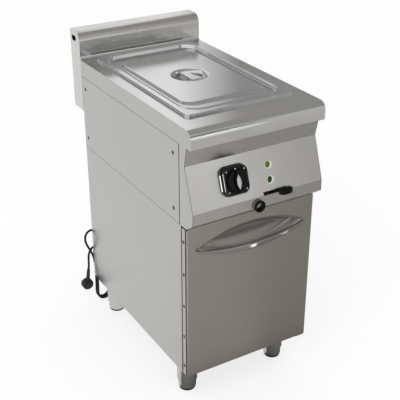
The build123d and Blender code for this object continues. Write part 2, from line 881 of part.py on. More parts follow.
outlet_path = FilletPolyline(
    (valve_x - valve_end, valve_y, outlet_z),
    (outlet_x, valve_y, outlet_z),
    (outlet_x, lip_y - outlet_reach, outlet_z),
    radius=outlet_bend,
)
outlet_front_y = lip_y - outlet_reach
collar_rear_y = outlet_front_y + outlet_collar_length
outlet_collar = rod(
    (outlet_x, outlet_front_y, outlet_z), (outlet_x, collar_rear_y, outlet_z), outlet_collar_r
)
outlet_collar -= rod((outlet_x, outlet_front_y - 1, outlet_z), (outlet_x, lip_y, outlet_z), pipe_bore_r)
parts["outlet_spout"] = tube(outlet_path, pipe_r, pipe_bore_r) + outlet_collar

# Drain lever: a flat arm on the valve's stem, through the slot, with a plastic grip

lever_plane = Plane(
    origin=(valve_x, valve_y, lever_z),
    x_dir=(math.sin(math.radians(lever_angle)), -math.cos(math.radians(lever_angle)), 0),
    z_dir=(0, 0, 1),
)
arm_outline = Pos(lever_length / 2) * SlotOverall(lever_length + lever_width, lever_width)
arm_blank = extrude(arm_outline, amount=lever_gauge / 2, both=True)
arm = arm_blank - Cylinder(stem_top_r, 2 * lever_gauge)
parts["lever_arm"] = lever_plane.location * arm
lever_grip_outline = make_face(
    FilletPolyline(
        [(along, across_arm) for along, across_arm, corner_r in lever_grip_corners],
        radius=[corner_r for along, across_arm, corner_r in lever_grip_corners], close=True,
    )
)
lever_grip = extrude(lever_grip_outline, amount=lever_grip_height / 2, both=True)
grip_faces = lever_grip.faces().sort_by(Axis.Z)
lever_grip = fillet(grip_faces[0].edges() + grip_faces[-1].edges(), lever_grip_edge_r)
parts["lever_grip"] = lever_plane.location * (lever_grip - arm_blank)

# Base cabinet: side panels, back, floor and front rail

cabinet_section = folded(
    [
        (-half + front_return, cabinet_front_y),
        (-half, cabinet_front_y),
        (-half, splash_y),
        (-half + return_width, splash_y),
    ],
    panel_gauge,
    [bend_r, bend_r],
)
pair("cabinet_side", upright(cabinet_section, cabinet_z, tray_z))
floor_z = cabinet_z + panel_gauge
cabinet_back = slab(-back_half, back_half, back_y - panel_gauge, back_y, floor_z, tray_z)
cabinet_back -= rod((gland_x, back_y - 5, gland_z), (gland_x, back_y + 5, gland_z), gland_r + fit_gap)
parts["cabinet_back"] = cabinet_back
floor_front_y = cabinet_front_y + panel_gauge + fit_gap
floor_rear_y = back_y - panel_gauge
cabinet_floor = slab(-back_half, back_half, floor_front_y, back_y, cabinet_z, floor_z)
for side in (-1, 1):
    outer_x = side * back_half
    inner_x = side * (back_half - panel_gauge)
    cabinet_floor += slab(
        min(outer_x, inner_x), max(outer_x, inner_x), floor_front_y, floor_rear_y,
        cabinet_z, cabinet_z + floor_flange,
    )
cabinet_floor += slab(
    -back_half, back_half, floor_front_y, floor_front_y + panel_gauge, cabinet_z, cabinet_z + floor_flange
)
parts["cabinet_floor"] = cabinet_floor
rail_section = folded(
    [
        (floor_front_y + rail_depth, tray_z - rail_height),
        (floor_front_y, tray_z - rail_height),
        (floor_front_y, tray_z),
        (floor_front_y + rail_depth, tray_z),
    ],
    panel_gauge,
    [bend_r, bend_r],
)
parts["front_rail"] = across(rail_section, -back_half, back_half)

# Door: a hemmed front skin with a pressed recess, on a frame that is screwed at its edges

door_bottom_z = cabinet_z + door_bottom_gap
door_height = door_top_z - door_bottom_z
skin_half = half - skin_inset
skin_rear_y = door_front_y + skin_depth
hem_x = skin_half - skin_hem
skin_section = folded(
    [
        (hem_x, skin_rear_y),
        (skin_half, skin_rear_y),
        (skin_half, door_front_y),
        (-skin_half, door_front_y),
        (-skin_half, skin_rear_y),
        (-hem_x, skin_rear_y),
    ],
    panel_gauge,
    [bend_r, bend_r, bend_r, bend_r],
)


def lens(y, half_length, up, down):
    """Face between two arcs that meet at the handle's tips, at a given depth."""
    left = (-half_length, y, handle_z)
    right = (half_length, y, handle_z)
    upper = ThreePointArc(left, (0, y, handle_z + up), right)
    lower = ThreePointArc(right, (0, y, handle_z - down), left)
    return make_face([upper.edge(), lower.edge()])


def recess_body(inset, front_y, rear_y):
    """Pocket that narrows from the door's face to its floor."""
    mouth = lens(front_y, recess_half - 3 * inset, recess_up - inset, recess_down - inset)
    base = lens(
        rear_y,
        recess_half - recess_draft_x - 3 * inset,
        recess_up - recess_draft_up - inset,
        recess_down - recess_draft_down - inset,
    )
    return loft([mouth, base])


door_skin = upright(skin_section, door_bottom_z, door_top_z)
for edge_z in (door_bottom_z, door_top_z - panel_gauge):
    door_skin += slab(
        -skin_half + bend_r, skin_half - bend_r, door_front_y, skin_rear_y, edge_z, edge_z + panel_gauge
    )
door_skin += slab(
    -skin_half + bend_r, skin_half - bend_r, door_front_y, door_front_y + panel_gauge,
    door_top_z - panel_gauge, door_top_z + skin_rise,
)
recess_rear_y = door_front_y + recess_depth
door_skin += recess_body(0, door_front_y, recess_rear_y)
door_skin -= recess_body(panel_gauge, door_front_y, recess_rear_y - panel_gauge)
parts["door_skin"] = door_skin

frame_half = half - frame_inset
door_frame = upright(
    make_face(
        FilletPolyline(
            (-frame_half, skin_rear_y), (frame_half, skin_rear_y),
            (frame_half, door_rear_y), (-frame_half, door_rear_y),
            radius=[bend_r, bend_r, frame_corner, frame_corner], close=True,
        )
    ),
    door_bottom_z,
    door_top_z,
)
door_frame -= slab(
    -frame_half + panel_gauge, frame_half - panel_gauge, skin_rear_y + panel_gauge, door_rear_y - panel_gauge,
    door_bottom_z + panel_gauge, door_top_z - panel_gauge,
)
door_frame -= slab(
    -frame_half + frame_flange, frame_half - frame_flange, door_front_y, skin_rear_y + 2 * panel_gauge,
    door_bottom_z + frame_flange, door_top_z - frame_flange,
)
hinge_x = half - hinge_inset
door_frame -= rod((hinge_x, hinge_y, cabinet_z), (hinge_x, hinge_y, worktop_z), hinge_bush_r + running_gap)
screw_first_z = door_bottom_z + door_screw_low
screw_step = (door_top_z - door_screw_high - screw_first_z) / (door_screw_count - 1)
door_screw_y = door_front_y + door_screw_set_back
door_screws = [(door_screw_y, screw_first_z + i * screw_step) for i in range(door_screw_count)]
frame_holes = screw_holes(door_screws, frame_half, panel_gauge)
door_frame -= frame_holes
door_frame -= mirrored(frame_holes)
parts["door_frame"] = door_frame
left_door_screws = [screw(y, z, frame_half, panel_gauge) for y, z in door_screws]
parts["door_screws"] = Compound(left_door_screws + [mirrored(solid) for solid in left_door_screws])

# Bow handle: a crescent bar over the recess, thickest in the middle, on a boss at each tip

bow_stations = [-1.0, -0.75, -0.4, 0.0, 0.4, 0.75, 1.0]


def bow_section(share):
    """Oval section of the bow at a share of the way from the middle to a tip."""
    swell = 1 - share * share
    tall = bow_tip_thick + (bow_thick - bow_tip_thick) * swell
    deep = bow_tip_deep + (bow_deep - bow_tip_deep) * swell
    centre = Vector(
        share * bow_half,
        door_front_y - bow_boss_r - deep / 2 - bow_reach * swell * 0.4,
        handle_z - bow_drop - bow_sag * swell,
    )
    lean = math.atan2(2 * bow_sag * share, bow_half)
    plane = Plane(origin=centre, x_dir=(0, 1, 0), z_dir=(math.cos(lean), 0, math.sin(lean)))
    return plane * Ellipse(deep / 2, tall / 2)


door_handle = loft([bow_section(share) for share in bow_stations])
for side in (-1, 1):
    boss_x = side * (bow_half - 2 * bow_boss_r)
    boss_z = handle_z - bow_drop - bow_sag * (1 - (boss_x / bow_half) ** 2)
    boss_front_y = door_front_y - 2 * bow_boss_r
    door_handle += rod((boss_x, door_front_y, boss_z), (boss_x, boss_front_y, boss_z), bow_boss_r)
parts["door_handle"] = door_handle

# Door hinges: brackets on the cabinet with pins up and down into bushes in the frame

bracket_front_y = hinge_y - hinge_bush_r - bracket_gauge
bracket_right = hinge_x + hinge_bush_r
bracket_left = bracket_right - bracket_width
lower_rear_y = leg_front_y - leg_plate / 2 - bracket_gauge
upper_rear_y = cabinet_front_y - fit_gap
upper_z = tray_z - bracket_gauge
collar_r = hinge_bush_r
lower_bracket = slab(
    bracket_left, bracket_right, bracket_front_y, lower_rear_y, cabinet_z - bracket_gauge, cabinet_z
)
lower_bracket += rod((hinge_x, hinge_y, cabinet_z), (hinge_x, hinge_y, cabinet_z + collar_height), collar_r)
lower_bracket += rod(
    (hinge_x, hinge_y, cabinet_z), (hinge_x, hinge_y, cabinet_z + hinge_pin_length), hinge_pin_r
)
upper_bracket = slab(bracket_left, bracket_right, bracket_front_y, upper_rear_y, upper_z, tray_z)
upper_bracket += rod(
    (hinge_x, hinge_y, upper_z), (hinge_x, hinge_y, upper_z - hinge_pin_length), hinge_pin_r
)
parts["hinge_brackets"] = Compound([only_solid(lower_bracket), only_solid(upper_bracket)])
bush_ring = Circle(hinge_bush_r) - Circle(hinge_pin_r + running_gap)
bush_place = Pos(hinge_x, hinge_y) * bush_ring
lower_bush = upright(bush_place, door_bottom_z, door_bottom_z + hinge_bush_length)
upper_bush = upright(bush_place, door_top_z - hinge_bush_length, door_top_z)
parts["hinge_bushes"] = Compound([only_solid(lower_bush), only_solid(upper_bush)])

# Magnetic catch under the front rail, and the strike on the back of the door

catch_top = tray_z - rail_height
strike_rear_y = door_rear_y + strike_gauge
catch_front_y = strike_rear_y + strike_gap
catch_left = catch_x - catch_width / 2
catch_right = catch_x + catch_width / 2
catch_body = slab(
    catch_left, catch_right, catch_front_y, catch_front_y + catch_depth, catch_top - catch_height, catch_top
)
parts["door_catch"] = catch_body
parts["door_strike"] = slab(
    catch_left, catch_right, door_rear_y, strike_rear_y, catch_top - catch_height, catch_top - fit_gap
)

# Legs: a sleeve under each corner of the cabinet, with a screwed foot and a pad

sleeve_inner_r = leg_r - leg_wall
sleeve_top = cabinet_z - leg_plate_gauge
sleeve = Pos(0, 0, (leg_bottom_z + sleeve_top) / 2) * Cylinder(leg_r, sleeve_top - leg_bottom_z)
sleeve -= Pos(0, 0, (leg_bottom_z + sleeve_top) / 2) * Cylinder(sleeve_inner_r, sleeve_top - leg_bottom_z)
leg_nut = Pos(0, 0, leg_nut_z + leg_nut_height / 2) * Cylinder(sleeve_inner_r, leg_nut_height)
sleeve += leg_nut - Pos(0, 0, leg_nut_z) * Cylinder(stud_r + running_gap, 4 * leg_nut_height)
sleeve += Pos(0, 0, cabinet_z - leg_plate_gauge / 2) * Box(leg_plate, leg_plate, leg_plate_gauge)
foot_inner_r = foot_r - foot_wall
foot_side = Polyline(
    (0, stud_top_z), (stud_r, stud_top_z), (stud_r, leg_nut_z), (foot_r, leg_nut_z),
    (foot_r, pad_height + foot_edge_r),
)
foot_edge = RadiusArc(
    (foot_r, pad_height + foot_edge_r), (foot_r - foot_edge_r, pad_height), foot_edge_r, short_sagitta=True
)
foot_inside = Polyline(
    (foot_r - foot_edge_r, pad_height), (foot_inner_r - 1, pad_height),
    (foot_inner_r - 1, leg_nut_z - foot_wall), (0, leg_nut_z - foot_wall), (0, stud_top_z),
)
foot = revolve(
    Plane.XZ * make_face(foot_side.edges() + [foot_edge.edge()] + foot_inside.edges()), axis=Axis.Z
)
pad = Pos(0, 0, pad_height / 2) * Cylinder(pad_r, pad_height)
pad = chamfer(pad.edges().group_by(Axis.Z)[0], pad_height / 3)
leg_places = {
    "front_left": Pos(-leg_x, leg_front_y),
    "front_right": Pos(leg_x, leg_front_y),
    "rear_left": Pos(-leg_x, leg_rear_y),
    "rear_right": Pos(leg_x, leg_rear_y),
}
parts["leg_sleeves"] = Compound([only_solid(place * sleeve) for place in leg_places.values()])
for corner, place in leg_places.items():
    parts["foot_" + corner] = place * foot
    parts["foot_pad_" + corner] = place * pad

# Cord gland in the cabinet's back, turned to the left, and the terminal block beside it

gland_tail_end = Vector(*cord_route[0])
gland = rod((gland_x, back_y, gland_z), (gland_x, back_y + gland_r * 0.6, gland_z), gland_flange_r)
gland += rod((gland_x, back_y - gland_r, gland_z), (gland_x, cord_y, gland_z), gland_r)
gland += rod(
    (gland_x, back_y - gland_r, gland_z), (gland_x, back_y - panel_gauge, gland_z), gland_flange_r
)
gland += Pos(gland_x, cord_y, gland_z) * Sphere(gland_r)
gland += rod((gland_x, cord_y, gland_z), gland_tail_end, gland_r, cord_r + 1)
parts["cord_gland"] = gland

terminal_front_y = floor_rear_y - terminal_depth
terminal_block = slab(
    gland_x - terminal_width / 2, gland_x + terminal_width / 2,
    terminal_front_y, floor_rear_y, terminal_z, terminal_z + terminal_height,
)
way_pitch = terminal_width / terminal_ways
way_r = way_pitch / 4
for way in range(terminal_ways):
    way_x = gland_x + (way - (terminal_ways - 1) / 2) * way_pitch
    for level in (0.28, 0.72):
        way_z = terminal_z + level * terminal_height
        terminal_block -= rod((way_x, terminal_front_y, way_z), (way_x, floor_rear_y - 5, way_z), way_r)
parts["terminal_block"] = terminal_block

# Supply cord: the free stretch from the gland, the tied hank, and the tail to the plug

def cord_tube(route, name):
    """Tube along a cord's route, each corner rounded as far as its two runs allow."""
    points = [Vector(*point) for point in route]
    radii = []
    for before, here, after in zip(points, points[1:], points[2:]):
        turn = math.radians((here - before).get_angle(after - here))
        shorter = min((here - before).length, (after - here).length)
        radii.append(0.45 * shorter / math.tan(turn / 2))
    path = FilletPolyline(*points, radius=radii)
    print(name, "length", round(path.length, 1), "radii", [round(radius) for radius in radii])
    solid = tube(path, cord_r)
    print(name, "volume share", round(solid.volume / (math.pi * cord_r ** 2 * path.length), 4))
    return solid


parts["supply_cord"] = cord_tube(cord_route, "supply cord")
parts["cord_tail"] = cord_tube(tail_route, "cord tail")

hank_low = hank_bottom_z + hank_half_width
hank_high = hank_top_z - hank_half_width
hank_left = Vector(hank_x - hank_half_width, cord_y)
hank_right = Vector(hank_x + hank_half_width, cord_y)
left_column = Plane(origin=(hank_left.X, cord_y, hank_low), z_dir=(0, 0, 1))
right_column = Plane(origin=(hank_right.X, cord_y, hank_high), z_dir=(0, 0, 1))
hank = extrude(left_column * Circle(hank_bundle_r), amount=hank_high - hank_low)
hank += extrude(right_column * Circle(hank_bundle_r), amount=hank_low - hank_high)
low_fold = Axis((hank_x, cord_y, hank_low), (0, -1, 0))
high_fold = Axis((hank_x, cord_y, hank_high), (0, -1, 0))
hank += revolve(left_column * Circle(hank_bundle_r), axis=low_fold, revolution_arc=180)
hank += revolve(right_column * Circle(hank_bundle_r), axis=high_fold, revolution_arc=180)
parts["cord_hank"] = hank - parts["supply_cord"] - parts["cord_tail"]

plug_plane = Plane(origin=plug_centre - Vector(0, plug_depth / 2, 0), x_dir=(1, 0, 0), z_dir=(0, 1, 0))
plug = extrude(plug_plane * Circle(plug_r), amount=plug_depth)
plug = fillet(plug.edges().group_by(Axis.Y)[0], plug_depth / 4)
plug += rod(tail_route[-1], plug_centre, cord_r + 1.5, relief_r)
for side in (-1, 1):
    pin_start = plug_centre + Vector(side * plug_pin_spacing / 2, plug_depth / 2, 0)
    plug += rod(pin_start, pin_start + Vector(0, plug_pin_length, 0), plug_pin_r)
parts["plug"] = plug

# Write each piece with the origin in the middle of the footprint, cord and plug left out of it

cord_nodes = ("supply_cord", "cord_tail", "cord_hank", "plug")
footprint = Compound([shape for name, shape in parts.items() if name not in cord_nodes]).bounding_box()
origin_y = (footprint.min.Y + footprint.max.Y) / 2
origin_x = (footprint.min.X + footprint.max.X) / 2
to_origin = Pos(-origin_x, -origin_y, 0)
print("origin", round(origin_x, 4), round(origin_y, 4), "size", footprint.size)
print("valve y", round(valve_y, 4), "hinge x", hinge_x, "panel normal", panel_normal, knob_plane.origin)
for name, shape in parts.items():
    export_step(to_origin * shape, "parts/" + name + ".step")
print(len(parts), "nodes")
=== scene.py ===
import math
import bmesh
import bpy
from mathutils import Matrix, Vector


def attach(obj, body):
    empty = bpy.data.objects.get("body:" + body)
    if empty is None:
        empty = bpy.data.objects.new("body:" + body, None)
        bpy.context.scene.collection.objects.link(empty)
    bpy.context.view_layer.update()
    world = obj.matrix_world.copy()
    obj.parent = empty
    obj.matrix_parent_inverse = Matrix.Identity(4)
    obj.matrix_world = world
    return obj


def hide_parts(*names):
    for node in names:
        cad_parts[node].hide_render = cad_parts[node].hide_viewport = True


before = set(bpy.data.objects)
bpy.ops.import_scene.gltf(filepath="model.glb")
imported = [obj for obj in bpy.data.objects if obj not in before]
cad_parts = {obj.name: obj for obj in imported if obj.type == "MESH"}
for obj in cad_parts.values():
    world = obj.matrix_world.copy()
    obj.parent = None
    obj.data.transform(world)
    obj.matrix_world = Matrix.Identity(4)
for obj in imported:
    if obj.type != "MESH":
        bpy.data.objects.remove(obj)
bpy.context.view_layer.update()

# Studio: a matt white floor under an even white sky, a soft lamp high at the left and a small one in front.
# Grey cards that the camera doesn't see stand round the object and lie before it, for its steel to reflect.
# All pieces below are drawn in millimetres, with Y running back from the worktop's nose.
MM = 0.001
NOSE_Y = -0.3366183


def linear(code):
    """Linear colour of an sRGB hex value."""
    shares = [int(code[i:i + 2], 16) / 255 for i in (1, 3, 5)]
    return [s / 12.92 if s <= 0.04045 else ((s + 0.055) / 1.055) ** 2.4 for s in shares] + [1.0]


def add(tree, kind, settings=None, values=None, links=None):
    """One node with its settings, its sockets' values and its links."""
    made = tree.nodes.new(kind)
    for key, value in (settings or {}).items():
        setattr(made, key, value)
    for key, value in (values or {}).items():
        made.inputs[key].default_value = value
    for key, source in (links or {}).items():
        tree.links.new(source, made.inputs[key])
    return made


def new_finish(name):
    """Material with its tree of nodes and its shader."""
    material = bpy.data.materials.new(name)
    material.use_nodes = True
    return material, material.node_tree, material.node_tree.nodes["Principled BSDF"]


def studio_plane(name, centre, size, facing, colour, swing=0.0):
    """Flat matt surface of the studio, which isn't part of the object."""
    material, _, shader = new_finish(name)
    shader.inputs["Base Color"].default_value = linear(colour)
    shader.inputs["Roughness"].default_value = 0.95
    shader.inputs["Specular IOR Level"].default_value = 0.0
    bm = bmesh.new()
    bmesh.ops.create_grid(bm, x_segments=1, y_segments=1, size=0.5)
    turn = Vector(facing).to_track_quat("Z", "Y").to_matrix().to_4x4() @ Matrix.Rotation(swing, 4, "Z")
    shape = Matrix.Translation(centre) @ turn @ Matrix.Diagonal((size[0], size[1], 1, 1))
    bmesh.ops.transform(bm, matrix=shape, verts=bm.verts)
    mesh = bpy.data.meshes.new(name)
    bm.to_mesh(mesh)
    bm.free()
    mesh.materials.append(material)
    plane = bpy.data.objects.new(name, mesh)
    bpy.context.scene.collection.objects.link(plane)
    return plane


def in_plain_sight(tree):
    """1 for what the camera sees, also in metal or through glass, and 0 for other light."""
    path = add(tree, "ShaderNodeLightPath")
    seen = add(
        tree, "ShaderNodeMath", {"operation": "MAXIMUM"},
        links={0: path.outputs["Is Camera Ray"], 1: path.outputs["Is Glossy Ray"]},
    )
    return add(
        tree, "ShaderNodeMath", {"operation": "MAXIMUM"},
        links={0: seen.outputs[0], 1: path.outputs["Is Transmission Ray"]},
    ).outputs[0]


# The floor is seen part lit and part as plain white, so that it stays white and keeps a light shadow.
white_share = 0.75
floor = studio_plane("studio_floor", (0, 0, 0), (30, 30), (0, 0, 1), "#fbfbfa")
tree = floor.data.materials[0].node_tree
white = add(tree, "ShaderNodeEmission", values={"Color": (1, 1, 1, 1), "Strength": 1.0})
share = add(tree, "ShaderNodeMath", {"operation": "MULTIPLY"}, {1: white_share}, {0: in_plain_sight(tree)})
seen_floor = add(
    tree, "ShaderNodeMixShader",
    links={0: share.outputs[0], 1: tree.nodes["Principled BSDF"].outputs[0], 2: white.outputs[0]},
)
tree.links.new(seen_floor.outputs[0], tree.nodes["Material Output"].inputs["Surface"])

# Each card has its centre and size in metres, the way that it faces, its tone and, for one, a turn.
back_grey = "#9e9c9a"
card_table = (
    ("card_before_door", (1.0, -1.75, 0.001), (2.6, 2.6), (0, 0, 1), "#c8c6c2"),
    ("card_door_right", (1.4, -1.02, 0.002), (1.6, 2.4), (0, 0, 1), "#aeaca8", math.radians(30.6)),
    ("card_right_back", (1.067, 0.233, 1.95), (1.97, 2.4), (-0.509, -0.861, 0), back_grey),
    ("card_under_door", (0.1, -0.33, 0.003), (1.6, 0.22), (0, 0, 1), "#8a8885"),
    ("card_overhead", (0.95, -0.4, 3.2), (4.5, 4.0), (0, 0, -1), "#a8a6a4"),
    ("card_left_back", (-0.75, 1.5, 1.9), (1.3, 1.6), (0, -1, 0), "#a8a6a4"),
    ("card_right_front", (1.7, -1.2, 0.95), (2.3, 1.3), (0, 1, 0), "#d6d4d1"),
    ("card_above_front", (1.1, -2.2, 1.85), (2.8, 1.2), (-0.45, 0.83, -0.3), "#8f8d8b"),
)
cards = {row[0]: studio_plane(*row) for row in card_table}
for card in cards.values():
    card.visible_camera = False
    card.visible_diffuse = False
    card.visible_shadow = False
# The card at the right back shades off to white at its left edge, so that its reflection has no hard end.
tree = cards["card_right_back"].data.materials[0].node_tree
across = add(
    tree, "ShaderNodeVectorMath", {"operation": "DOT_PRODUCT"}, {1: (0.861, -0.509, 0)},
    {0: add(tree, "ShaderNodeTexCoord").outputs["Object"]},
)
shade = add(
    tree, "ShaderNodeMapRange", values={"From Min": -0.06, "From Max": 0.17},
    links={"Value": across.outputs["Value"]},
)
blend = add(
    tree, "ShaderNodeMix", {"data_type": "RGBA"}, values={6: (1, 1, 1, 1), 7: linear(back_grey)},
    links={0: shade.outputs[0]},
)
tree.links.new(blend.outputs[2], tree.nodes["Principled BSDF"].inputs["Base Color"])

world = bpy.data.worlds.new("white_sky")
bpy.context.scene.world = world
world.use_nodes = True
sky = world.node_tree
level = add(
    sky, "ShaderNodeMapRange", values={"To Min": 0.95, "To Max": 1.0}, links={"Value": in_plain_sight(sky)}
)
sky.nodes["Background"].inputs["Color"].default_value = (1, 1, 1, 1)
sky.links.new(level.outputs[0], sky.nodes["Background"].inputs["Strength"])


def area_lamp(name, place, size, watts, aim):
    """Rectangular lamp, turned to a point."""
    lamp = bpy.data.objects.new(name, bpy.data.lights.new(name, "AREA"))
    bpy.context.scene.collection.objects.link(lamp)
    lamp.data.shape = "RECTANGLE"
    lamp.data.size, lamp.data.size_y = size
    lamp.data.energy = watts
    lamp.location = place
    lamp.rotation_euler = (Vector(aim) - lamp.location).to_track_quat("-Z", "Y").to_euler()
    return lamp


soft_lamp = area_lamp("soft_lamp", (-1.9, -1.5, 2.6), (1.6, 1.2), 26, (0, 0, 0.6))
soft_lamp.visible_glossy = False
controls = (0, -0.25, 0.6)
front_lamp = area_lamp("front_lamp", (1.1, -2.6, 1.35), (0.3, 0.3), 0.8, controls)
front_lamp.visible_diffuse = False

focal_px = 852.41
picture_px = 400
camera = bpy.data.objects.new("camera", bpy.data.cameras.new("camera"))
bpy.context.scene.collection.objects.link(camera)
camera.data.sensor_fit = "HORIZONTAL"
camera.data.sensor_width = 36.0
camera.data.lens = focal_px / picture_px * camera.data.sensor_width
camera.location = (-1.12436, -1.5925 + NOSE_Y, 1.62755)
camera.rotation_euler = (math.radians(90 - 27.37), 0, math.radians(-30.81))
bpy.context.scene.camera = camera
bpy.context.scene.view_settings.view_transform = "Standard"

# Legs: four tube sleeves of satin stainless, welded to square plates under the cabinet's corners.
# A turned foot screws into a nut in each sleeve and ends in a black rubber pad.


def lay_patterns(tree, shader, dark, light, tone, gloss, relief, depth, height):
    """Lay two tones, a gloss and a relief on a shader, each by its pattern."""
    colour = add(
        tree, "ShaderNodeMix", {"data_type": "RGBA"}, {6: linear(dark), 7: linear(light)}, {0: tone}
    )
    bump = add(tree, "ShaderNodeBump", None, {"Strength": depth, "Distance": height}, {"Height": relief})
    tree.links.new(colour.outputs[2], shader.inputs["Base Color"])
    tree.links.new(gloss, shader.inputs["Roughness"])
    tree.links.new(bump.outputs[0], shader.inputs["Normal"])


def brushed_steel(name, dark, light, roughness, grain, depth):
    """Ground stainless steel. Fine scratches along the sheet show as streaks of tone and gloss."""
    material, tree, shader = new_finish(name)
    shader.inputs["Metallic"].default_value = 1.0
    place = add(tree, "ShaderNodeTexCoord").outputs["Object"]
    drawn = add(
        tree, "ShaderNodeMapping", values={"Scale": [1000 / size for size in grain]}, links={"Vector": place}
    )
    scratches = add(
        tree, "ShaderNodeTexNoise", values={"Scale": 1.0, "Detail": 4.0, "Roughness": 0.65},
        links={"Vector": drawn.outputs[0]},
    )
    clouds = add(
        tree, "ShaderNodeTexNoise", values={"Scale": 6.0, "Detail": 2.0}, links={"Vector": place}
    )
    tone = add(
        tree, "ShaderNodeMapRange", values={"From Min": 0.3, "From Max": 0.7},
        links={"Value": scratches.outputs["Fac"]},
    )
    gloss = add(
        tree, "ShaderNodeMapRange",
        values={"From Min": 0.1, "From Max": 0.9, "To Min": roughness * 0.8, "To Max": roughness * 1.2},
        links={"Value": clouds.outputs["Fac"]},
    )
    relief = scratches.outputs["Fac"]
    lay_patterns(tree, shader, dark, light, tone.outputs[0], gloss.outputs[0], relief, depth, 0.0004)
    return material


def moulded(name, dark, light, roughness, grain_mm, depth, coat=0.0, gleam=0.3):
    """Moulded rubber or plastic: one colour with a fine grain that dulls its gloss."""
    material, tree, shader = new_finish(name)
    shader.inputs["Specular IOR Level"].default_value = gleam
    shader.inputs["Coat Weight"].default_value = coat
    shader.inputs["Coat Roughness"].default_value = 0.04
    place = add(tree, "ShaderNodeTexCoord").outputs["Object"]
    grain = add(
        tree, "ShaderNodeTexNoise", values={"Scale": 1000 / grain_mm, "Detail": 3.0}, links={"Vector": place}
    ).outputs["Fac"]
    gloss = add(
        tree, "ShaderNodeMapRange", values={"To Min": roughness * 0.8, "To Max": roughness * 1.2},
        links={"Value": grain},
    )
    lay_patterns(tree, shader, dark, light, grain, gloss.outputs[0], grain, depth, 0.0003)
    return material


def turned(bm, profile, place, steps=48):
    """Piece turned on a lathe: a profile of (radius, height) spun round the upright, then put in place."""
    old = set(bm.verts)
    line = [bm.verts.new((radius, 0, height)) for radius, height in profile]
    edges = [bm.edges.new(ends) for ends in zip(line, line[1:])]
    bmesh.ops.spin(
        bm, geom=line + edges, cent=(0, 0, 0), axis=(0, 0, 1), angle=2 * math.pi, steps=steps, use_merge=True
    )
    new = [vert for vert in bm.verts if vert not in old]
    bmesh.ops.remove_doubles(bm, verts=new, dist=0.001)
    new = [vert for vert in bm.verts if vert not in old]
    bmesh.ops.transform(bm, matrix=place, verts=new)


def kept(name, bm, body, material, slot, wall=0.0, closed=True, sharp=30.0):
    """Piece of the object from a mesh drawn in millimetres. A wall is a sheet's thickness, laid inwards.
    A piece with the name of one of the model's nodes takes that node's place.
    """
    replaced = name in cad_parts
    bmesh.ops.remove_doubles(bm, verts=bm.verts, dist=0.002)
    if closed and not wall:
        bmesh.ops.recalc_face_normals(bm, faces=bm.faces)
    bmesh.ops.scale(bm, vec=(MM, MM, MM), verts=bm.verts)
    bmesh.ops.translate(bm, vec=(0, NOSE_Y, 0), verts=bm.verts)
    bm.edges.index_update()
    rims = [edge.index for edge in bm.edges if edge.is_boundary]
    mesh = bpy.data.meshes.new(name)
    bm.to_mesh(mesh)
    bm.free()
    mesh.shade_smooth()
    mesh.set_sharp_from_angle(angle=math.radians(sharp))
    for rim in rims:
        mesh.edges[rim].use_edge_sharp = True
    mesh.materials.append(material)
    piece = bpy.data.objects.new(name + "_finished" if replaced else name, mesh)
    bpy.context.scene.collection.objects.link(piece)
    if wall:
        sheet = piece.modifiers.new("wall", "SOLIDIFY")
        sheet.thickness = wall * MM
        sheet.offset = -1.0
        sheet.use_even_offset = True
    shading = piece.modifiers.new("shading", "WEIGHTED_NORMAL")
    shading.keep_sharp = True
    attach(piece, body)
    if replaced:
        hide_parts(name)
    return piece


def turned_piece(name, profile, place, steps, *rest):
    """Piece of the object that is one turned shape."""
    bm = bmesh.new()
    turned(bm, profile, place, steps)
    kept(name, bm, *rest)


def dress(material, *names):
    """Give nodes of the model that stay as they are a finish."""
    for name in names:
        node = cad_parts[name]
        node.data.materials.clear()
        node.data.materials.append(material)


# A ground tube has soft upright glints and faint rings. Its grain is under 0.2 mm; 1.5 mm makes it show.
tube_steel = brushed_steel("satin_stainless_tube", "#b9b8b5", "#c8c7c4", 0.3, (60, 60, 1.5), 0.02)
# Rubber looks dull and near black, with hardly a highlight.
black_rubber = moulded("moulded_black_rubber", "#0c0c0c", "#151514", 0.55, 1.2, 0.2, 0.0, 0.15)
leg_places = {
    end + "_" + side: Matrix.Translation((x, y, 0))
    for end, y in (("front", 114), ("rear", 581)) for side, x in (("left", -150), ("right", 150))
}
sleeve_profile = [
    (8.05, 68), (27.2, 68), (27.2, 109), (29.5, 109), (29.5, 34.2), (29.2, 33.4), (28.6, 33), (27.6, 33),
    (27.2, 33.4), (27.2, 56), (8.05, 56), (8.05, 68),
]
foot_profile = [
    (0, 100), (7.2, 100), (8, 99), (8, 56), (25.2, 56), (26, 55.2), (26, 10.2), (25.7, 8.2), (24.6, 6.3),
    (22.8, 5.2), (21, 5), (21, 52), (0, 52),
]
pad_profile = [(0, 0), (22.2, 0), (23.4, 0.6), (24, 1.8), (24, 5), (0, 5)]
leg_plate = Matrix.Translation((0, 0, 110.5)) @ Matrix.Diagonal((84, 84, 3, 1))
bm = bmesh.new()
for place in leg_places.values():
    turned(bm, sleeve_profile, place)
    bmesh.ops.create_cube(bm, size=1, matrix=place @ leg_plate)
kept("leg_sleeves", bm, "counter", tube_steel, "drawn_steel")
for corner, place in leg_places.items():
    body = "levelling_foot_" + corner
    turned_piece("foot_" + corner, foot_profile, place, 48, body, tube_steel, "drawn_steel")
    turned_piece("foot_pad_" + corner, pad_profile, place, 48, body, black_rubber, "black_rubber")

# Base cabinet: side panels of satin stainless sheet with folded front and rear edges, standing on the legs.
# A plain back, floor and front rail stiffen it; the grain of its sheet runs from front to back.


def ease(bm, geom, size, steps, what="EDGES"):
    """Round edges or corners over."""
    bmesh.ops.bevel(
        bm, geom=list(geom), offset=size, offset_type="OFFSET", segments=steps, profile=0.5, affect=what,
        material=-1,
    )


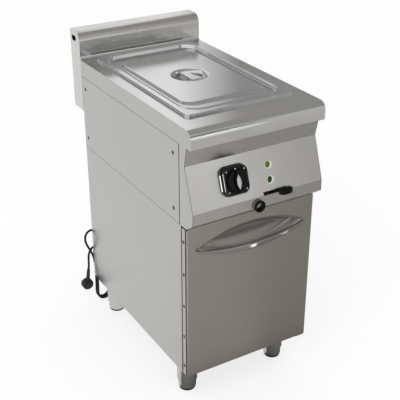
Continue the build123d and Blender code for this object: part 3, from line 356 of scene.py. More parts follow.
def corner_set_back(before, here, after, radius):
    """Distance from a corner of an outline to where its round of a radius starts."""
    first = Vector((here[0] - before[0], here[1] - before[1]))
    second = Vector((after[0] - here[0], after[1] - here[1]))
    return radius * math.tan(first.angle(second) / 2)


def draw_out(bm, made, step):
    """Move what an extrusion made away from where it started."""
    new = [item for item in made["geom"] if isinstance(item, bmesh.types.BMVert)]
    bmesh.ops.translate(bm, vec=step, verts=new)


def folded_sheet(bm, points, bends, ends, along, outside=1):
    """Sheet bent along a profile and drawn out along X or Z, its outside left of the profile or right."""
    order = (lambda u, v, w: (w, u, v)) if along == "x" else (lambda u, v, w: (u, v, w))
    old_edges, old_faces = set(bm.edges), set(bm.faces)
    corners = [bm.verts.new(order(u, v, ends[0])) for u, v in points]
    for pair in zip(corners, corners[1:]):
        bm.edges.new(pair)
    for before, here, after, corner, bend in zip(points, points[1:], points[2:], corners[1:], bends):
        set_back = corner_set_back(before, here, after, bend)
        ease(bm, [corner], set_back, max(3, round(bend / 2)), "VERTICES")
    wire = [edge for edge in bm.edges if edge not in old_edges]
    draw_out(bm, bmesh.ops.extrude_edge_only(bm, edges=wire), order(0, 0, ends[1] - ends[0]))
    faces = [face for face in bm.faces if face not in old_faces]
    bmesh.ops.recalc_face_normals(bm, faces=faces)
    (u0, v0), (u1, v1) = points[0], points[1]
    middle = Vector(order((u0 + u1) / 2, (v0 + v1) / 2, sum(ends) / 2))
    outward = Vector(order(v0 - v1, u1 - u0, 0)) * outside
    nearest = min(faces, key=lambda face: (face.calc_center_median() - middle).length)
    if nearest.normal.dot(outward) < 0:
        bmesh.ops.reverse_faces(bm, faces=faces)


# Satin sheet is a calm grey with faint level streaks. Its 0.3 mm grain is drawn 2 mm wide so that it shows.
panel_steel = brushed_steel("satin_stainless_panel", "#b2b1af", "#b7b6b4", 0.3, (90, 90, 2), 0.008)
# Mill finish, left as it was rolled, is flat and dull.
inner_steel = brushed_steel("mill_finish_stainless", "#a9a8a5", "#b8b7b4", 0.45, (90, 3, 3), 0.03)
sides = (("left", -1), ("right", 1))
half = 200.0
hem_half = 186
back_y = 636
panel_gauge = 1.2


def side_sheets(stem, front_half, front_y, ends):
    """Side panels, a left and a right one, with their front and rear edges folded in."""
    for side, sign in sides:
        bm = bmesh.new()
        profile = [(front_half, front_y), (half, front_y), (half, back_y), (hem_half, back_y)]
        folded_sheet(bm, [(sign * x, y) for x, y in profile], [2, 2], ends, "z", -sign)
        kept(stem + side, bm, "counter", panel_steel, "panel_steel", panel_gauge)


side_sheets("cabinet_side_", 180, 54.5, (112, 578.5))
dress(inner_steel, "cabinet_back", "cabinet_floor", "front_rail", "divider_tray", "upper_back")

# Door: a skin of ground stainless, its colour painted darker as painted shade, with the grain across it,
# hemmed over a frame behind.
# The skin has a lens-shaped recess pressed into it; five screws hold the frame at each side.


def lens_loop(bm, place, half_length, up, down, steps=40):
    """Closed loop of two arcs that meet at tips, drawn in X and Z and put in place."""
    old_verts, old_edges = set(bm.verts), set(bm.edges)
    for side, rise in ((1, up), (-1, down)):
        radius = (half_length ** 2 + rise ** 2) / (2 * rise)
        tip = bm.verts.new((-side * half_length, 0, 0))
        bmesh.ops.spin(
            bm, geom=[tip], cent=(0, 0, side * (rise - radius)), axis=(0, 1, 0),
            angle=2 * math.asin(half_length / radius), steps=steps,
        )
    new = [vert for vert in bm.verts if vert not in old_verts]
    bmesh.ops.remove_doubles(bm, verts=new, dist=0.01)
    new = [vert for vert in bm.verts if vert not in old_verts]
    bmesh.ops.transform(bm, matrix=place, verts=new)
    return [edge for edge in bm.edges if edge not in old_edges]


def edges_where(bm, test):
    """Edges whose ends both lie where a test says."""
    return [edge for edge in bm.edges if all(test(vert.co) for vert in edge.verts)]


def widest(bm, way):
    """Largest face that lies square to a direction."""
    square = [face for face in bm.faces if abs(face.normal.dot(Vector(way))) > 0.99]
    return max(square, key=lambda face: face.calc_area())


def face_out(bm, way):
    """Turn an open sheet so that its widest face looks along a direction."""
    bmesh.ops.recalc_face_normals(bm, faces=bm.faces)
    bm.normal_update()
    if widest(bm, way).normal.dot(Vector(way)) < 0:
        bmesh.ops.reverse_faces(bm, faces=bm.faces)
        bm.normal_update()


def fill_between(bm, edges, facing):
    """Fill the flat between loops of edges, with its faces turned one way."""
    filled = bmesh.ops.triangle_fill(bm, use_beauty=True, use_dissolve=False, edges=edges, normal=facing)
    faces = [item for item in filled["geom"] if isinstance(item, bmesh.types.BMFace)]
    for made in faces:
        made.normal_update()
    turned_in = [made for made in faces if made.normal.dot(Vector(facing)) < 0]
    if turned_in:
        bmesh.ops.reverse_faces(bm, faces=turned_in)


def open_up(bm, face, loops):
    """Cut a flat face back to the loops in it."""
    rim = list(face.edges)
    facing = face.normal.copy()
    bmesh.ops.delete(bm, geom=[face], context="FACES_ONLY")
    fill_between(bm, rim + [edge for loop in loops for edge in loop], facing)


def skin(bm, loops):
    """Bridge loops in their order."""
    for near, far in zip(loops, loops[1:]):
        bmesh.ops.bridge_loops(bm, edges=near + far)


# Coarser grinding makes the door and frame duller than the sides. Its streaks are drawn about 3 mm wide and
# 160 mm long, as the eye reads them from a few steps away. Pressing smooths them out in the recess.
# The door's colour is painted darker than the sides' sheet, as painted shade for the dim floor that it
# reflects.
door_steel = brushed_steel("ground_stainless_door_painted_dark", "#a19e99", "#a8a5a0", 0.33, (160, 160, 3), 0.02)
frame_steel = brushed_steel("satin_stainless_frame", "#b0aeab", "#b9b7b4", 0.36, (160, 160, 3), 0.02)
pressed_steel = brushed_steel("pressed_stainless_recess", "#aeaca8", "#b2b0ac", 0.31, (160, 160, 6), 0.004)
door_front_y = 24.0
skin_half = 198.5
skin_rear_y = 28.2
door_low_z = 114.0
door_high_z = 574.0
top_lip = 4
handle_z = 510.0
recess_half = 174
recess_up = 46
recess_down = 44
recess_depth = 22
recess_steps = 18
front = (0, -1, 0)
bm = bmesh.new()
folded_sheet(
    bm,
    [
        (hem_half, skin_rear_y), (skin_half, skin_rear_y), (skin_half, door_front_y),
        (-skin_half, door_front_y), (-skin_half, skin_rear_y), (-hem_half, skin_rear_y),
    ],
    [1.9, 2, 2, 1.9], (door_low_z, door_high_z), "z",
)
top_edge = edges_where(bm, lambda at: abs(at.z - door_high_z) < 0.01 and abs(at.y - door_front_y) < 0.01)
draw_out(bm, bmesh.ops.extrude_edge_only(bm, edges=top_edge), (0, 0, top_lip))
bm.normal_update()
front_face = widest(bm, front)
recess = []
for step in range(recess_steps + 1):
    share = step / recess_steps
    depth = recess_depth * share ** 3 * (10 - 15 * share + 6 * share * share)
    place = Matrix.Translation((0, door_front_y + depth, handle_z))
    recess.append(
        lens_loop(bm, place, recess_half - 44 * share, recess_up - 32 * share, recess_down - 14 * share)
    )
open_up(bm, front_face, recess[:1])
skin(bm, recess)
bmesh.ops.edgeloop_fill(bm, edges=recess[-1])
bmesh.ops.remove_doubles(bm, verts=bm.verts, dist=0.002)
face_out(bm, front)
for z, turn in ((door_high_z, 0), (door_low_z, math.pi)):
    flange = Matrix.Translation((0, 26.7, z)) @ Matrix.Rotation(turn, 4, "X")
    bmesh.ops.create_grid(
        bm, x_segments=1, y_segments=1, size=0.5, matrix=flange @ Matrix.Diagonal((393, 3, 1, 1))
    )
door_skin = kept("door_skin", bm, "door", door_steel, "door_steel", panel_gauge)
door_skin.data.materials.append(pressed_steel)
for face in door_skin.data.polygons:
    x, y, z = face.center
    sunk = y > (door_front_y + 0.3) * MM + NOSE_Y
    if sunk and abs(z / MM - handle_z) < recess_up and abs(x / MM) < recess_half:
        face.material_index = 1
dress(frame_steel, "door_frame")

# Door screws and seal: domed heads of plain steel with a round drive, in a row on each edge of the frame,
# each over a flat rubber washer whose black is painted shade round the head. A strip of black rubber
# closes the joint between skin and frame; its black is painted shadow of the gap there.


def screw_heads(bm, places, head_r=3.2, rise=1.0):
    """Domed heads, each at a place and turned to face out of its sheet."""
    profile = [
        (head_r - 0.5, -0.4), (head_r, -0.2), (head_r, rise * 0.4), (head_r * 0.86, rise * 0.62),
        (head_r * 0.66, rise * 0.85), (head_r * 0.42, rise), (head_r * 0.36, rise * 0.9),
        (head_r * 0.34, rise * 0.1), (0, rise * 0.05),
    ]
    for place in places:
        turned(bm, profile, place, 20)


def screw_row(stem, places, shade_washer_r, body):
    """Plain steel screws and the flat sealing washers under their heads, whose black is painted shade."""
    bm = bmesh.new()
    screw_heads(bm, places)
    kept(stem + "s", bm, body, dark_painted_screw_steel, "polished_steel")
    shade_washer = [(0, -0.4), (shade_washer_r, -0.4), (shade_washer_r, 0.1), (shade_washer_r - 0.3, 0.3), (0, 0.3)]
    bm = bmesh.new()
    for place in places:
        turned(bm, shade_washer, place, 24)
    kept(stem + "_shade_washers", bm, body, black_rubber, "black_rubber")


def facing_side(sign, x, y, z):
    """Place on a side of the object, looking out of it."""
    return Matrix.Translation((sign * x, y, z)) @ Matrix.Rotation(sign * math.pi / 2, 4, "Y")


def rubber_strips(name, body, boxes, edge):
    """Strips of rubber with eased edges, each with its place and its size."""
    bm = bmesh.new()
    for place, size in boxes:
        bmesh.ops.create_cube(bm, size=1, matrix=place @ Matrix.Diagonal((*size, 1)))
    ease(bm, bm.edges, edge, 2)
    kept(name, bm, body, black_rubber, "black_rubber")


# Plain steel is duller than the sheet that it holds; its colour is painted darker too, as painted shade
# round each head.
dark_painted_screw_steel = brushed_steel("plain_steel_screw_painted_dark", "#666461", "#767471", 0.4, (6, 6, 6), 0.0)
first_z = door_low_z + 28
screw_pitch = (door_high_z - 39 - first_z) / 4
door_screw_places = [
    facing_side(sign, 199.5, 41, first_z + i * screw_pitch) for sign in (-1, 1) for i in range(5)
]
screw_row("door_screw", door_screw_places, 5.0, "door")
# The black strip in the joint is painted shadow of the gap between skin and frame.
shade_gasket = [(Matrix.Translation((x, 30.7, 344)), (0.8, 4.4, 459)) for x in (-199.3, 199.3)]
rubber_strips("door_shade_gasket", "door", shade_gasket, 0.2)

# Bow handle: a polished stainless casting with a flat front, bowed over the recess, on a boss at each tip.
# It is widest in the middle and narrows to its tips.


def round_loop(bm, place, radius, steps):
    """Closed round loop of edges."""
    old = set(bm.edges)
    bmesh.ops.create_circle(bm, cap_ends=False, segments=steps, radius=radius, matrix=place)
    return [edge for edge in bm.edges if edge not in old]


def rounded_loop(bm, place, size_x, size_y, corner, steps=8):
    """Closed loop of edges round a rectangle with rounded corners."""
    old_verts, old_edges = set(bm.verts), set(bm.edges)
    corners = [
        bm.verts.new((sign_x * size_x / 2, sign_y * size_y / 2, 0))
        for sign_x, sign_y in ((-1, -1), (1, -1), (1, 1), (-1, 1))
    ]
    for first, second in zip(corners, corners[1:] + corners[:1]):
        bm.edges.new((first, second))
    ease(bm, corners, corner, steps, "VERTICES")
    new = [vert for vert in bm.verts if vert not in old_verts]
    bmesh.ops.transform(bm, matrix=place, verts=new)
    return [edge for edge in bm.edges if edge not in old_edges]


# A polished casting mirrors what is round it; its colour is painted dark, as painted dark reflection, and
# lamps give its glints.
dark_painted_polish_steel = brushed_steel("polished_cast_stainless_painted_dark", "#929190", "#979695", 0.07, (40, 40, 4), 0.0)
bow_half = 170.0
bow_sag = 17.5
bow_reach = 9.0
bow_z = handle_z - 3
bow_steps = 30
tip_size = 4
bm = bmesh.new()
rings = []
for step in range(2 * bow_steps + 1):
    share = -1 + step / bow_steps
    swell = 1 - share * share
    width = (1.0001 - share * share) ** 0.7
    tall = tip_size + 14 * width
    deep = tip_size + 9 * width
    lean = math.atan2(2 * bow_sag * share, bow_half)
    centre = (share * bow_half, door_front_y - 3 - deep / 2 - bow_reach * swell, bow_z - bow_sag * swell)
    turn = Matrix.Rotation(-lean, 4, "Y") @ Matrix.Rotation(math.pi / 2, 4, "Y")
    rings.append(rounded_loop(bm, Matrix.Translation(centre) @ turn, tall, deep, 0.36 * deep))
skin(bm, rings)
bmesh.ops.edgeloop_fill(bm, edges=rings[0])
bmesh.ops.edgeloop_fill(bm, edges=rings[-1])
for boss_x in (8 - bow_half, bow_half - 8):
    boss_z = bow_z - bow_sag * (1 - (boss_x / bow_half) ** 2)
    place = Matrix.Translation((boss_x, door_front_y, boss_z)) @ Matrix.Rotation(math.pi / 2, 4, "X")
    turned(bm, [(0, -0.5), (3, -0.5), (3, 6), (0, 6)], place, 24)
handle = kept("door_handle", bm, "door", dark_painted_polish_steel, "polished_steel", sharp=40)


def lit_alone(name, piece):
    """Collection that a lamp takes for its light to reach one piece and no other."""
    group = bpy.data.collections.new(name)
    group.objects.link(piece)
    return group


# Two small lamps on the floor, for the handle alone, which give it its two bright glints.
handle_light = lit_alone("handle_light", handle)
handle_middle = (0, -0.33, 0.49)
for name, place, wide in (
    ("glint_near", (0.44, -1.015, 0.02), 0.05), ("glint_far", (0.765, -0.951, 0.02), 0.09),
):
    glint = area_lamp(name, place, (wide, 0.05), 0.022, handle_middle)
    glint.visible_camera = False
    glint.light_linking.receiver_collection = handle_light

# Hinges and catch: pinned brackets of bright steel at the right with brass bushes in the frame.
# A magnet in a black nylon case holds a steel strike at the left.

# Brass shows warm and yellow; nylon is a soft black; bright steel is pale, with sharp edges to its light.
brass = brushed_steel("machined_brass", "#a98d4f", "#bd9f5c", 0.28, (2, 2, 0.8), 0.03)
black_matte = moulded("moulded_black_nylon", "#161616", "#222221", 0.5, 0.8, 0.15)
polished_steel = brushed_steel("polished_stainless", "#cfcfd0", "#dcdcdd", 0.1, (30, 30, 6), 0.005)
dress(polished_steel, "hinge_brackets", "door_strike")
dress(brass, "hinge_bushes")
dress(black_matte, "door_catch")

# Upper unit: two side panels of the cabinet's satin sheet, each held by four screws, over a divider tray.
# A rubber strip fills the joint under the worktop's skirt.
joint_z = 580
side_sheets("side_panel_", hem_half, 62, (joint_z, 801))
for side, sign in sides:
    seal = [(Matrix.Translation((sign * 196.7, 349, 801.2)), (4, 572, 2.4))]
    rubber_strips("skirt_seal_" + side, "counter", seal, 0.4)
side_screw_places = [
    facing_side(sign, half, y, z) for sign in (-1, 1) for y in (88.5, 613) for z in (612.5, 766.5)
]
screw_row("side_screw", side_screw_places, 5.5, "counter")

# Control panel: one folded stainless sheet with a shaded recess under the nose, a sloping face and a lip.
# A plate welded on at each end closes it; the drain lever comes out through a slot in the face.
lip_y = -5.3
lip_top_z = 632.6
fold_y = 34.7
fold_z = 747.6
skirt_z = 802
panel_front = [(24.5, joint_z), (lip_y, 601), (lip_y, lip_top_z), (fold_y, fold_z), (22.5, skirt_z)]
panel_slope = math.atan2(fold_y - lip_y, fold_z - lip_top_z)


def on_panel(x, z):
    """Place on the sloping face with its X to the right, its Y up the slope and its Z out of the panel."""
    y = lip_y + (z - lip_top_z) * math.tan(panel_slope)
    return Matrix.Translation((x, y, z)) @ Matrix.Rotation(math.pi / 2 - panel_slope, 4, "X")


# The panel's satin runs from side to side, so that its light is drawn out up and down the slope.
control_steel = brushed_steel("satin_stainless_control_panel", "#b6b5b3", "#bebdbb", 0.3, (140, 2, 2), 0.02)
lever_z = 636.5
lever_slot = on_panel(38.6, lever_z)
lamp_x = 40
lamp_z = {"amber": 705, "green": 667.5}
cheek_gauge = 1.5
bm = bmesh.new()
folded_sheet(
    bm, [(48.5, joint_z), (25.5, joint_z), (24.1, 578.5)] + panel_front[1:] + [(36.5, skirt_z)],
    [0.5, 0.5, 2, 2, 2, 2], (-197.7, 197.7), "x",
)
bm.normal_update()
face = widest(bm, (0, -math.cos(panel_slope), math.sin(panel_slope)))
slot_loop = rounded_loop(bm, lever_slot, 52.6, 6.6, 3.25)
lamp_loops = [round_loop(bm, on_panel(lamp_x, z), 10.1, 32) for z in lamp_z.values()]
open_up(bm, face, [slot_loop] + lamp_loops)
kept("control_panel", bm, "counter", control_steel, "panel_steel", panel_gauge)
for side, sign in sides:
    bm = bmesh.new()
    outline = [(57, joint_z)] + panel_front + [(57, skirt_z)]
    plate = bm.faces.new([bm.verts.new((sign * half, y, z)) for y, z in outline])
    drawn = bmesh.ops.extrude_face_region(bm, geom=[plate], use_keep_orig=True)
    draw_out(bm, drawn, (-sign * cheek_gauge, 0, 0))
    bmesh.ops.recalc_face_normals(bm, faces=bm.faces)
    ease(bm, edges_where(bm, lambda at: abs(at.x) > half - 0.1), 0.7, 2)
    kept("control_cheek_" + side, bm, "counter", panel_steel, "panel_steel")
    seal = [(Matrix.Translation((sign * 196.5, 59.5, 691)), (4, 4.8, 221))]
    rubber_strips("cheek_seal_" + side, "counter", seal, 0.4)

# Thermostat: a square black bezel with rounded corners and edges, screwed to the sloping face.
# The knob turns in front of it: a round skirt under a lens-shaped bar with a silver strip let into it.


def lift(height):
    """Step up from the face a piece stands on."""
    return Matrix.Translation((0, 0, height))


# Phenolic plastic is a deep, even black; its buffed edges catch the light. The strip is satin lengthways.
black_gloss = moulded("polished_black_phenolic", "#030303", "#060606", 0.14, 3.0, 0.01, 0.0, 0.12)
black_edge = moulded("buffed_black_phenolic_edge", "#030303", "#060606", 0.07, 3.0, 0.004, 0.35, 0.4)
silver_strip = brushed_steel("satin_aluminium_strip", "#a6a6a6", "#c0c0c0", 0.24, (1.5, 40, 40), 0.03)
knob_place = on_panel(-68, 689.2)
knob_way = knob_place.col[2].xyz
bezel_size = 75
bezel_corner = 18
bezel_wall = 10.5
bezel_edge = 6
bm = bmesh.new()
bezel_rings = [(79, 20, 0), (79, 20, 0.8), (75.6, 18.3, 3.2), (bezel_size, bezel_corner, bezel_wall)]
for turn in (12, 24, 36, 48, 60, 75, 90):
    inset = bezel_edge * (1 - math.cos(math.radians(turn)))
    rise = bezel_edge * math.sin(math.radians(turn))
    bezel_rings.append((bezel_size - 2 * inset, bezel_corner - inset, bezel_wall + rise))
bezel = [
    rounded_loop(bm, knob_place @ lift(height), size, size, corner) for size, corner, height in bezel_rings
]
skin(bm, bezel)
dial_seat = [
    round_loop(bm, knob_place @ lift(height), radius, 64)
    for radius, height in ((31.4, 16.5), (30.9, 16.3), (30.5, 15.2), (29.9, 14.8), (5.7, 14.8), (5.7, 0))
]
fill_between(bm, bezel[-1] + dial_seat[0], knob_way)
skin(bm, dial_seat)
bezel_piece = kept("knob_bezel", bm, "counter", black_gloss, "black_gloss")
bezel_piece.data.materials.append(black_edge)
for face in bezel_piece.data.polygons:
    if 0.15 < Vector(face.normal).dot(knob_way) < 0.97:
        face.material_index = 1

# A strip lamp at the left, for the bezel alone, draws a line of light along its edge.
strip_lamp = area_lamp("strip_lamp", (-2.2, -1.1, 0.75), (0.7, 1.5), 80, controls)
strip_lamp.visible_diffuse = False
strip_lamp.light_linking.receiver_collection = lit_alone("bezel_light", bezel_piece)

bm = bmesh.new()
screw_heads(
    bm,
    [knob_place @ Matrix.Translation((x, y, 16.1)) for x in (-26, 26) for y in (-26, 26)],
    2.2, 0.9,
)
kept("bezel_screws", bm, "counter", polished_steel, "polished_steel")
# A small flat white dot near the top edge of the bezel.
flat_white = moulded("flat_white_dot", "#e4e4e0", "#f2f2ee", 0.4, 1.0, 0.05)
mark_profile = [(0, 16.3), (1.5, 16.3), (1.5, 16.6), (1.3, 16.7), (0, 16.7)]
mark_place = knob_place @ Matrix.Translation((0, 30, 0))
turned_piece("bezel_top_dot", mark_profile, mark_place, 20, "counter", flat_white, "polished_steel")


def lens_block(bm, place, rings):
    """Lens-shaped block that stands up the slope, from rings of half length, half width and height."""
    upright = Matrix.Rotation(math.pi / 2, 4, "Z") @ Matrix.Rotation(math.pi / 2, 4, "X")
    loops = [
        lens_loop(bm, place @ lift(height) @ upright, reach, wide, wide, 20) for reach, wide, height in rings
    ]
    skin(bm, loops)
    bmesh.ops.edgeloop_fill(bm, edges=loops[-1])
    bmesh.ops.edgeloop_fill(bm, edges=loops[0])


skirt_profile = [
    (3, 17), (28, 17), (28.7, 17.2), (29, 17.8), (29, 18.8), (28.6, 19.7), (27.6, 20.3), (26, 20.5),
    (0, 20.5), (0, 18), (3, 18), (3, 17),
]
bar_rings = [
    (28, 10.5, 20.4), (27.7, 10.2, 21), (27.4, 10, 22.2), (27.2, 9.8, 25), (26.8, 9.4, 26.2),
    (26.2, 8.9, 26.8), (25.4, 8.3, 27),
]
strip_rings = [(19.5, 6.4, 26.8), (19.5, 6.4, 27.3), (19, 6.0, 27.7), (17.4, 4.8, 28), (14, 2.7, 28.2)]
bm = bmesh.new()
turned(bm, skirt_profile, knob_place, 64)
lens_block(bm, knob_place, bar_rings)
kept("thermostat_knob", bm, "thermostat_dial", black_gloss, "black_gloss")
bm = bmesh.new()
lens_block(bm, knob_place @ Matrix.Translation((0, -3.5, 0)), strip_rings)
kept("knob_insert", bm, "thermostat_dial", silver_strip, "polished_steel", sharp=60)
dress(polished_steel, "thermostat_shaft")
dress(black_matte, "thermostat_body")

# Signal lamps: a coloured polycarbonate lens over a small lamp, amber above green, pushed into the face.
# Each lens sits at the bottom of a pale cup of clear plastic, whose rim lies on the sheet.


def lens_plastic(name, deep, light):
    """Tinted polycarbonate with small facets inside, each deeper in tone towards its middle."""
    material, tree, shader = new_finish(name)
    shader.inputs["Roughness"].default_value = 0.15
    shader.inputs["IOR"].default_value = 1.58
    shader.inputs["Specular IOR Level"].default_value = 0.2
    place = add(tree, "ShaderNodeTexCoord").outputs["Object"]
    facets = add(
        tree, "ShaderNodeTexVoronoi", values={"Scale": 1000 / 2.5}, links={"Vector": place}
    )
    colour = add(
        tree, "ShaderNodeMix", {"data_type": "RGBA"}, values={6: linear(deep), 7: linear(light)},
        links={0: facets.outputs["Distance"]},
    )
    tree.links.new(colour.outputs[2], shader.inputs["Base Color"])
    return material


# The lamps are off, so their lenses look dark in their colour. The clear cup is almost white.
lens_tints = {
    "amber": lens_plastic("amber_polycarbonate", "#474e08", "#6c7520"),
    "green": lens_plastic("green_polycarbonate", "#042e0e", "#0f471a"),
}
pale_collar = lens_plastic("pale_clear_polycarbonate", "#dfe3cf", "#f0f2e6")
lens_profile = [
    (0, -25), (6, -25), (6, -6.8), (8.4, -6.8), (8.4, -5.6), (8, -4.8), (7, -4.1), (5.4, -3.6), (3.4, -3.3),
    (1.6, -3.2), (0, -3.2),
]
collar_profile = [
    (8.5, -7), (9.2, -7), (10, -1.3), (10, 0.1), (10.7, 0.1), (10.7, 0.5), (10.4, 0.8), (9.9, 0.7),
    (9.6, 0.2), (8.5, -6.4), (8.5, -7),
]
for name, tint in lens_tints.items():
    place = on_panel(lamp_x, lamp_z[name])
    slot = name + "_lens"
    turned_piece("lamp_" + name, lens_profile, place, 32, "counter", tint, slot)
    turned_piece("lamp_collar_" + name, collar_profile, place, 32, "counter", pale_collar, slot)

# Drain: a stub of bright pipe through the lip, with a polished collar and a moulded black ring at its mouth.
# It bends to a ball valve, whose lever is a flat black arm through the slot with a cranked moulded grip.
# Rubber lips line the slot, behind the sheet and at its front; their black is partly painted shade in the
# slot and under the arm.

# The pipe's bore is painted brownish near black, as painted shade deep inside it.
bore_shade_steel = brushed_steel("pipe_bore_painted_shade", "#2a2826", "#3a3835", 0.5, (6, 6, 6), 0.03)
outlet_x = -2.0
outlet_z = 608.0
valve_x = 31.0
valve_y = 14.0565
valve_half = 16
bend_r = 15
bend_x = outlet_x + bend_r
pipe_end = bend_r - valve_y
to_front = Matrix.Translation((outlet_x, 0, outlet_z)) @ Matrix.Rotation(math.pi / 2, 4, "X")
mouth_collar = [(13.4, 3.6), (15.6, 3.6), (16, 4), (16, 7.4), (13.4, 7.6), (13.4, 3.6)]
mouth_ring = [
    (10.5, 12), (13.6, 12), (13.6, 7.6), (15.8, 7.7), (16.2, 8.2), (16.2, 13.2), (15.6, 13.9), (11.4, 13.9),
    (10.8, 13.6), (10.5, 13), (10.5, 12),
]
# The collar takes the handle's steel, whose colour is painted dark as painted dark reflection.
turned_piece("outlet_collar", mouth_collar, to_front, 48, "counter", dark_painted_polish_steel, "polished_steel")
turned_piece("outlet_ring", mouth_ring, to_front, 48, "counter", black_gloss, "black_gloss")
for name, radius, start, material in (
    ("outlet_spout", 13.5, 12.6, polished_steel), ("outlet_bore", 10.5, 13.2, bore_shade_steel),
):
    bm = bmesh.new()
    turned(bm, [(radius, start), (radius, pipe_end)], to_front)
    old = set(bm.edges)
    ring = round_loop(bm, to_front @ lift(pipe_end), radius, 48)
    verts = list(dict.fromkeys(vert for edge in ring for vert in edge.verts))
    bmesh.ops.spin(
        bm, geom=verts + ring, cent=(bend_x, -pipe_end, outlet_z), axis=(0, 0, 1), angle=-math.pi / 2,
        steps=12,
    )
    bent = [edge for edge in edges_where(bm, lambda at: abs(at.x - bend_x) < 0.01) if edge not in old]
    draw_out(bm, bmesh.ops.extrude_edge_only(bm, edges=bent), (valve_x - valve_half - bend_x, 0, 0))
    bmesh.ops.remove_doubles(bm, verts=bm.verts, dist=0.01)
    bmesh.ops.recalc_face_normals(bm, faces=bm.faces)
    bm.normal_update()
    first = min(bm.faces, key=lambda face: face.calc_center_median().y)
    middle = first.calc_center_median()
    out = middle - Vector((outlet_x, middle.y, outlet_z))
    if (first.normal.dot(out) < 0) != (name == "outlet_bore"):
        bmesh.ops.reverse_faces(bm, faces=bm.faces)
    kept(name, bm, "counter", material, "polished_steel", closed=False)
dress(polished_steel, "drain_pipe")
dress(inner_steel, "valve_body")
dress(brass, "valve_ball")

# Black rubber lips, partly real and partly painted shade: they darken the slot's inside and its edges.
slot_shade_lips = [
    (lever_slot @ Matrix.Translation((0, rise, depth)), size)
    for depth, size in ((-2.2, (58, 3.4, 1.6)), (0.1, (53, 1.4, 1.6))) for rise in (-4.1, 4.1)
]
rubber_strips("slot_shade_lips", "counter", slot_shade_lips, 0.4)


def plate_with_edges(bm, place, outline, rounds, thickness, edge):
    """Thick plate with rounded corners and eased edges, centred on its place."""
    corners = [bm.verts.new((x, y, -thickness / 2)) for x, y in outline]
    bm.faces.new(corners)
    for corner, before, here, after, radius in zip(
        corners, outline[-1:] + outline[:-1], outline, outline[1:] + outline[:1], rounds
    ):
        ease(bm, [corner], corner_set_back(before, here, after, radius), 6, "VERTICES")
    drawn = bmesh.ops.extrude_face_region(bm, geom=list(bm.faces), use_keep_orig=True)
    draw_out(bm, drawn, (0, 0, thickness))
    bmesh.ops.recalc_face_normals(bm, faces=bm.faces)
    rims = [link for link in bm.edges if abs(link.verts[0].co.z - link.verts[1].co.z) < 0.001]
    ease(bm, rims, edge, 4)
    bmesh.ops.transform(bm, matrix=place, verts=bm.verts)


lever_place = Matrix.Translation((valve_x, valve_y, lever_z)) @ Matrix.Rotation(math.radians(-35), 4, "Z")
arm_outline = [(-4, -4), (49, -4), (49, 4), (-4, 4)]
grip_outline = [(35, -3), (61, 16.5), (71, 11), (70, 2.5), (58.2, -8.9), (45, -15.5), (34, -10)]
bm = bmesh.new()
plate_with_edges(bm, lever_place, arm_outline, [3.9] * 4, 4.4, 0.6)
kept("lever_arm", bm, "drain_lever", black_gloss, "black_gloss")
bm = bmesh.new()
plate_with_edges(bm, lever_place, grip_outline, [3, 4, 4, 6, 8, 7, 3], 14, 1.6)
kept("lever_grip", bm, "drain_lever", black_gloss, "black_gloss")

# Worktop: a satin stainless top with a bullnose front and closed sides, and a coved upstand at the back.
# It is one welded sheet with an opening over the water tank.

# The top is ground finer than the sides, so that it looks pale and mirrors its surroundings softly.
top_steel = brushed_steel("satin_stainless_worktop", "#cdcdcc", "#d4d4d3", 0.15, (120, 2, 120), 0.015)
top_gauge = 1.5
top_z = 850
nose_r = 22
cove_r = 10
upstand = 38
nose_return = 20
up = (0, 0, 1)
bm = bmesh.new()
outline = [(0, skirt_z), (0, top_z), (back_y, top_z), (back_y, skirt_z)]
corners = [bm.verts.new((-half, y, z)) for y, z in outline]
bm.faces.new(corners)
ease(bm, [corners[0]], 2, 3, "VERTICES")
ease(bm, [corners[1]], nose_r, 16, "VERTICES")
drawn = bmesh.ops.extrude_face_region(bm, geom=list(bm.faces), use_keep_orig=True)
draw_out(bm, drawn, (2 * half, 0, 0))
bmesh.ops.recalc_face_normals(bm, faces=bm.faces)
bm.normal_update()
hidden = [face for face in bm.faces if face.normal.z < -0.99 or face.normal.y > 0.99]
bmesh.ops.delete(bm, geom=hidden, context="FACES_ONLY")
loose = [edge for edge in bm.edges if not edge.link_faces]
bmesh.ops.delete(bm, geom=loose, context="EDGES")
end_edges = [
    edge for edge in bm.edges
    if len(edge.link_faces) == 2 and abs(edge.verts[0].co.x - edge.verts[1].co.x) < 0.01
    and {abs(round(face.normal.x)) for face in edge.link_faces} == {0, 1}
]
ease(bm, end_edges, 0.6, 2)
rear = edges_where(bm, lambda at: abs(at.y - back_y) < 0.01 and abs(at.z - top_z) < 0.01)
draw_out(bm, bmesh.ops.extrude_edge_only(bm, edges=rear), (0, 0, upstand))
ease(bm, rear, cove_r, 8)
lower = [
    edge for edge in edges_where(bm, lambda at: at.y < 5)
    if len(edge.link_faces) == 1 and abs(edge.verts[0].co.x - edge.verts[1].co.x) > half
]
draw_out(bm, bmesh.ops.extrude_edge_only(bm, edges=lower), (0, nose_return, 0))
face_out(bm, up)
top_face = widest(bm, up)
well = Matrix.Translation((0, 350, 0))
opening = rounded_loop(bm, well @ lift(top_z), 308, 513, 54, 12)
open_up(bm, top_face, [opening])
worktop = kept("worktop", bm, "counter", top_steel, "panel_steel", top_gauge)
worktop.data.materials.append(panel_steel)
for face in worktop.data.polygons:
    if abs(face.normal.x) > 0.9:
        face.material_index = 1

# Splash box: a folded box behind the worktop with a rounded top front edge, closed by a plate at each end.
# Each end plate has an oval hand slot near its top; all of it is satin stainless.

